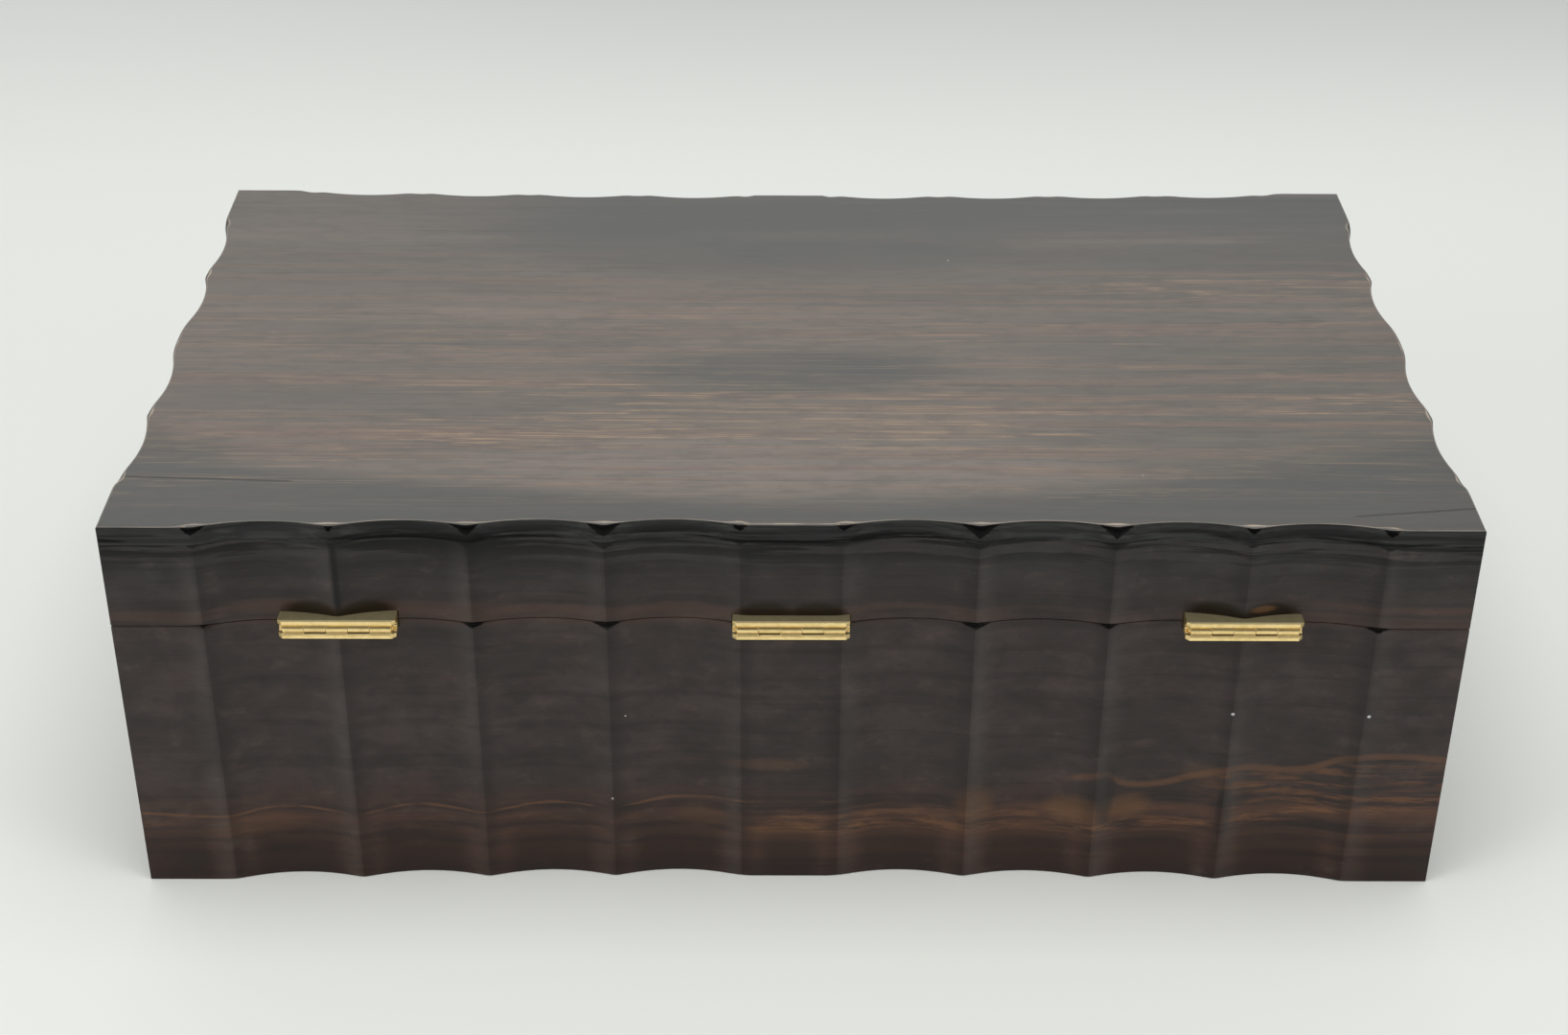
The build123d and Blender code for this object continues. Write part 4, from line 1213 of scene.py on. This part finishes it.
def laid_sheet(name, node, body, material, face_up, ripple, seed):
    """A thin sheet glued down flat, its edges turned under and its face a little uneven."""
    low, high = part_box(node)
    count_x = max(12, round((high.x - low.x) / (4 * MM)))
    count_y = max(8, round((high.y - low.y) / (4 * MM)))
    xs = np.linspace(low.x, high.x, count_x + 1)
    ys = np.linspace(low.y, high.y, count_y + 1)
    edge = 0.35 * (high.z - low.z)
    points = []
    for x in xs:
        for y in ys:
            wave = math.sin(61 * x + seed) * math.sin(83 * y + 2 * seed)
            wave += math.sin(143 * x - 97 * y)
            rim = x in (xs[0], xs[-1]) or y in (ys[0], ys[-1])
            down = edge if rim else ripple * (0.5 + 0.25 * wave)
            points.append((x, y, high.z - down if face_up else low.z + down))
    rows = count_y + 1
    faces = [
        (i * rows + j, (i + 1) * rows + j, (i + 1) * rows + j + 1, i * rows + j + 1)
        for i in range(count_x)
        for j in range(count_y)
    ]
    back = low.z if face_up else high.z
    shift = len(points)
    points += [(x, y, back) for x, y, _ in points]
    faces += [tuple(shift + k for k in reversed(face)) for face in faces]
    around = [i * rows for i in range(count_x + 1)]
    around += [count_x * rows + j for j in range(1, rows)]
    around += [i * rows + count_y for i in reversed(range(count_x))]
    around += [j for j in reversed(range(1, count_y))]
    for a, b in zip(around, around[1:] + around[:1]):
        faces.append((a, b, b + shift, a + shift))
    piece = finished(mesh_of(points, faces), name, body, material, [node], 60)


def dress_linings():
    green = leather("writing_leather", *WRITING_GREEN)
    tab = leather("tab_leather", *TAB_GREEN)
    felt = cloth()
    board = "writing_board"
    laid_sheet("writing_skiver", "writing_leather", board, green, True, 0.08 * MM, 1.0)
    laid_sheet("pull_tab", "board_pull_tab", board, tab, True, 0.1 * MM, 2.0)
    laid_sheet("lid_cloth", "lid_lining", "lid", felt, False, 0.25 * MM, 3.0)
    laid_sheet("well_cloth", "well_lining", "case", felt, True, 0.25 * MM, 4.0)


# Floor, lights and camera


def backdrop(name, corners, material):
    """A flat face of the surroundings."""
    mesh = mesh_of(corners, [(0, 1, 2, 3)])
    mesh.materials.append(material)
    face = placed(name, mesh)
    return face


def floor():
    """Pale paper with painted shade: a little dim to the right in front of the box and far out under
    the lamps.
    """
    s = Shader("pale_floor")
    place = s.place()
    s.color = s.mix(s.noise(place, 1.3, 2.0), *FLOOR)
    # Painted shade where the lamps' light falls off
    right = s.between(s.step(s.axis(place, "X"), 0.0, 0.45), 1.0, 0.6)
    s.coat(FLOOR_SHADE, s.step(s.axis(place, "Y"), -0.38, -0.75), right)
    distance = s.node("VectorMath", {0: place}, "Value", operation="LENGTH")
    s.coat(FLOOR_OUTSIDE, s.step(distance, 1.1, 1.9), 0.8)
    material = s.surface(0.85, Specular_IOR_Level=0.1)
    r = FLOOR_HALF
    backdrop("floor", [(-r, -r, 0), (r, -r, 0), (r, r, 0), (-r, r, 0)], material)


def dark_card():
    """The dim room behind the photographer, seen only in the polish."""
    corners = [(-0.9, 1.6, 0.02), (0.9, 1.6, 0.02), (0.9, 0.95, 2.6), (-0.9, 0.95, 2.6)]
    card = backdrop("black_card", corners, Shader("black_card", CARD).surface(0.9))
    card.visible_camera = False
    card.visible_shadow = False
    card.visible_diffuse = False


def soft_lamp(name, at, target, width, height, power):
    data = bpy.data.lights.new(name, "AREA")
    data.shape = "RECTANGLE"
    data.size = width
    data.size_y = height
    data.energy = power
    data.color = LAMP_COLOR
    lamp = placed(name, data)
    lamp.location = at
    lamp.rotation_mode = "QUATERNION"
    lamp.rotation_quaternion = (Vector(target) - Vector(at)).to_track_quat("-Z", "Y")


def world():
    """Soft pale surroundings, brighter to the camera, in the polish and through glass."""
    s = Shader("studio", kind="World")
    rays = s.node("LightPath", {}).node.outputs
    shown = s.either(rays["Is Camera Ray"], rays["Is Glossy Ray"], rays["Is Transmission Ray"])
    fill = s.node("Background", {"Color": FILL_COLOR, "Strength": WORLD_FILL})
    seen = s.node("Background", {"Color": SEEN_COLOR, "Strength": WORLD_SEEN})
    s.tree.links.new(s.node("MixShader", {0: shown, 1: fill, 2: seen}), s.out.inputs["Surface"])
    bpy.context.scene.world = s.owner


def studio():
    floor()
    dark_card()
    world()
    for name, settings in LAMPS.items():
        soft_lamp(name, *settings)
    bpy.context.scene.view_settings.view_transform = "Standard"


def camera():
    """The photograph's camera, solved from the box's corners."""
    ahead = math.cos(CAMERA_PITCH)
    forward = Vector(
        (-math.sin(CAMERA_YAW) * ahead, -math.cos(CAMERA_YAW) * ahead, -math.sin(CAMERA_PITCH))
    )
    level = Vector((-math.cos(CAMERA_YAW), math.sin(CAMERA_YAW), 0))
    upright = level.cross(forward)
    right = math.cos(CAMERA_ROLL) * level + math.sin(CAMERA_ROLL) * upright
    up = math.cos(CAMERA_ROLL) * upright - math.sin(CAMERA_ROLL) * level
    data = bpy.data.cameras.new("camera")
    data.sensor_width = SENSOR
    data.lens = FOCAL_PIXELS / IMAGE_WIDTH * SENSOR
    made = placed("camera", data)
    turn = Matrix((right, up, -forward)).transposed().to_4x4()
    made.matrix_world = Matrix.Translation(CAMERA_AT) @ turn
    bpy.context.scene.camera = made


dress_walls()
ease_fittings()
dress_screws()
dress_linings()
studio()
camera()
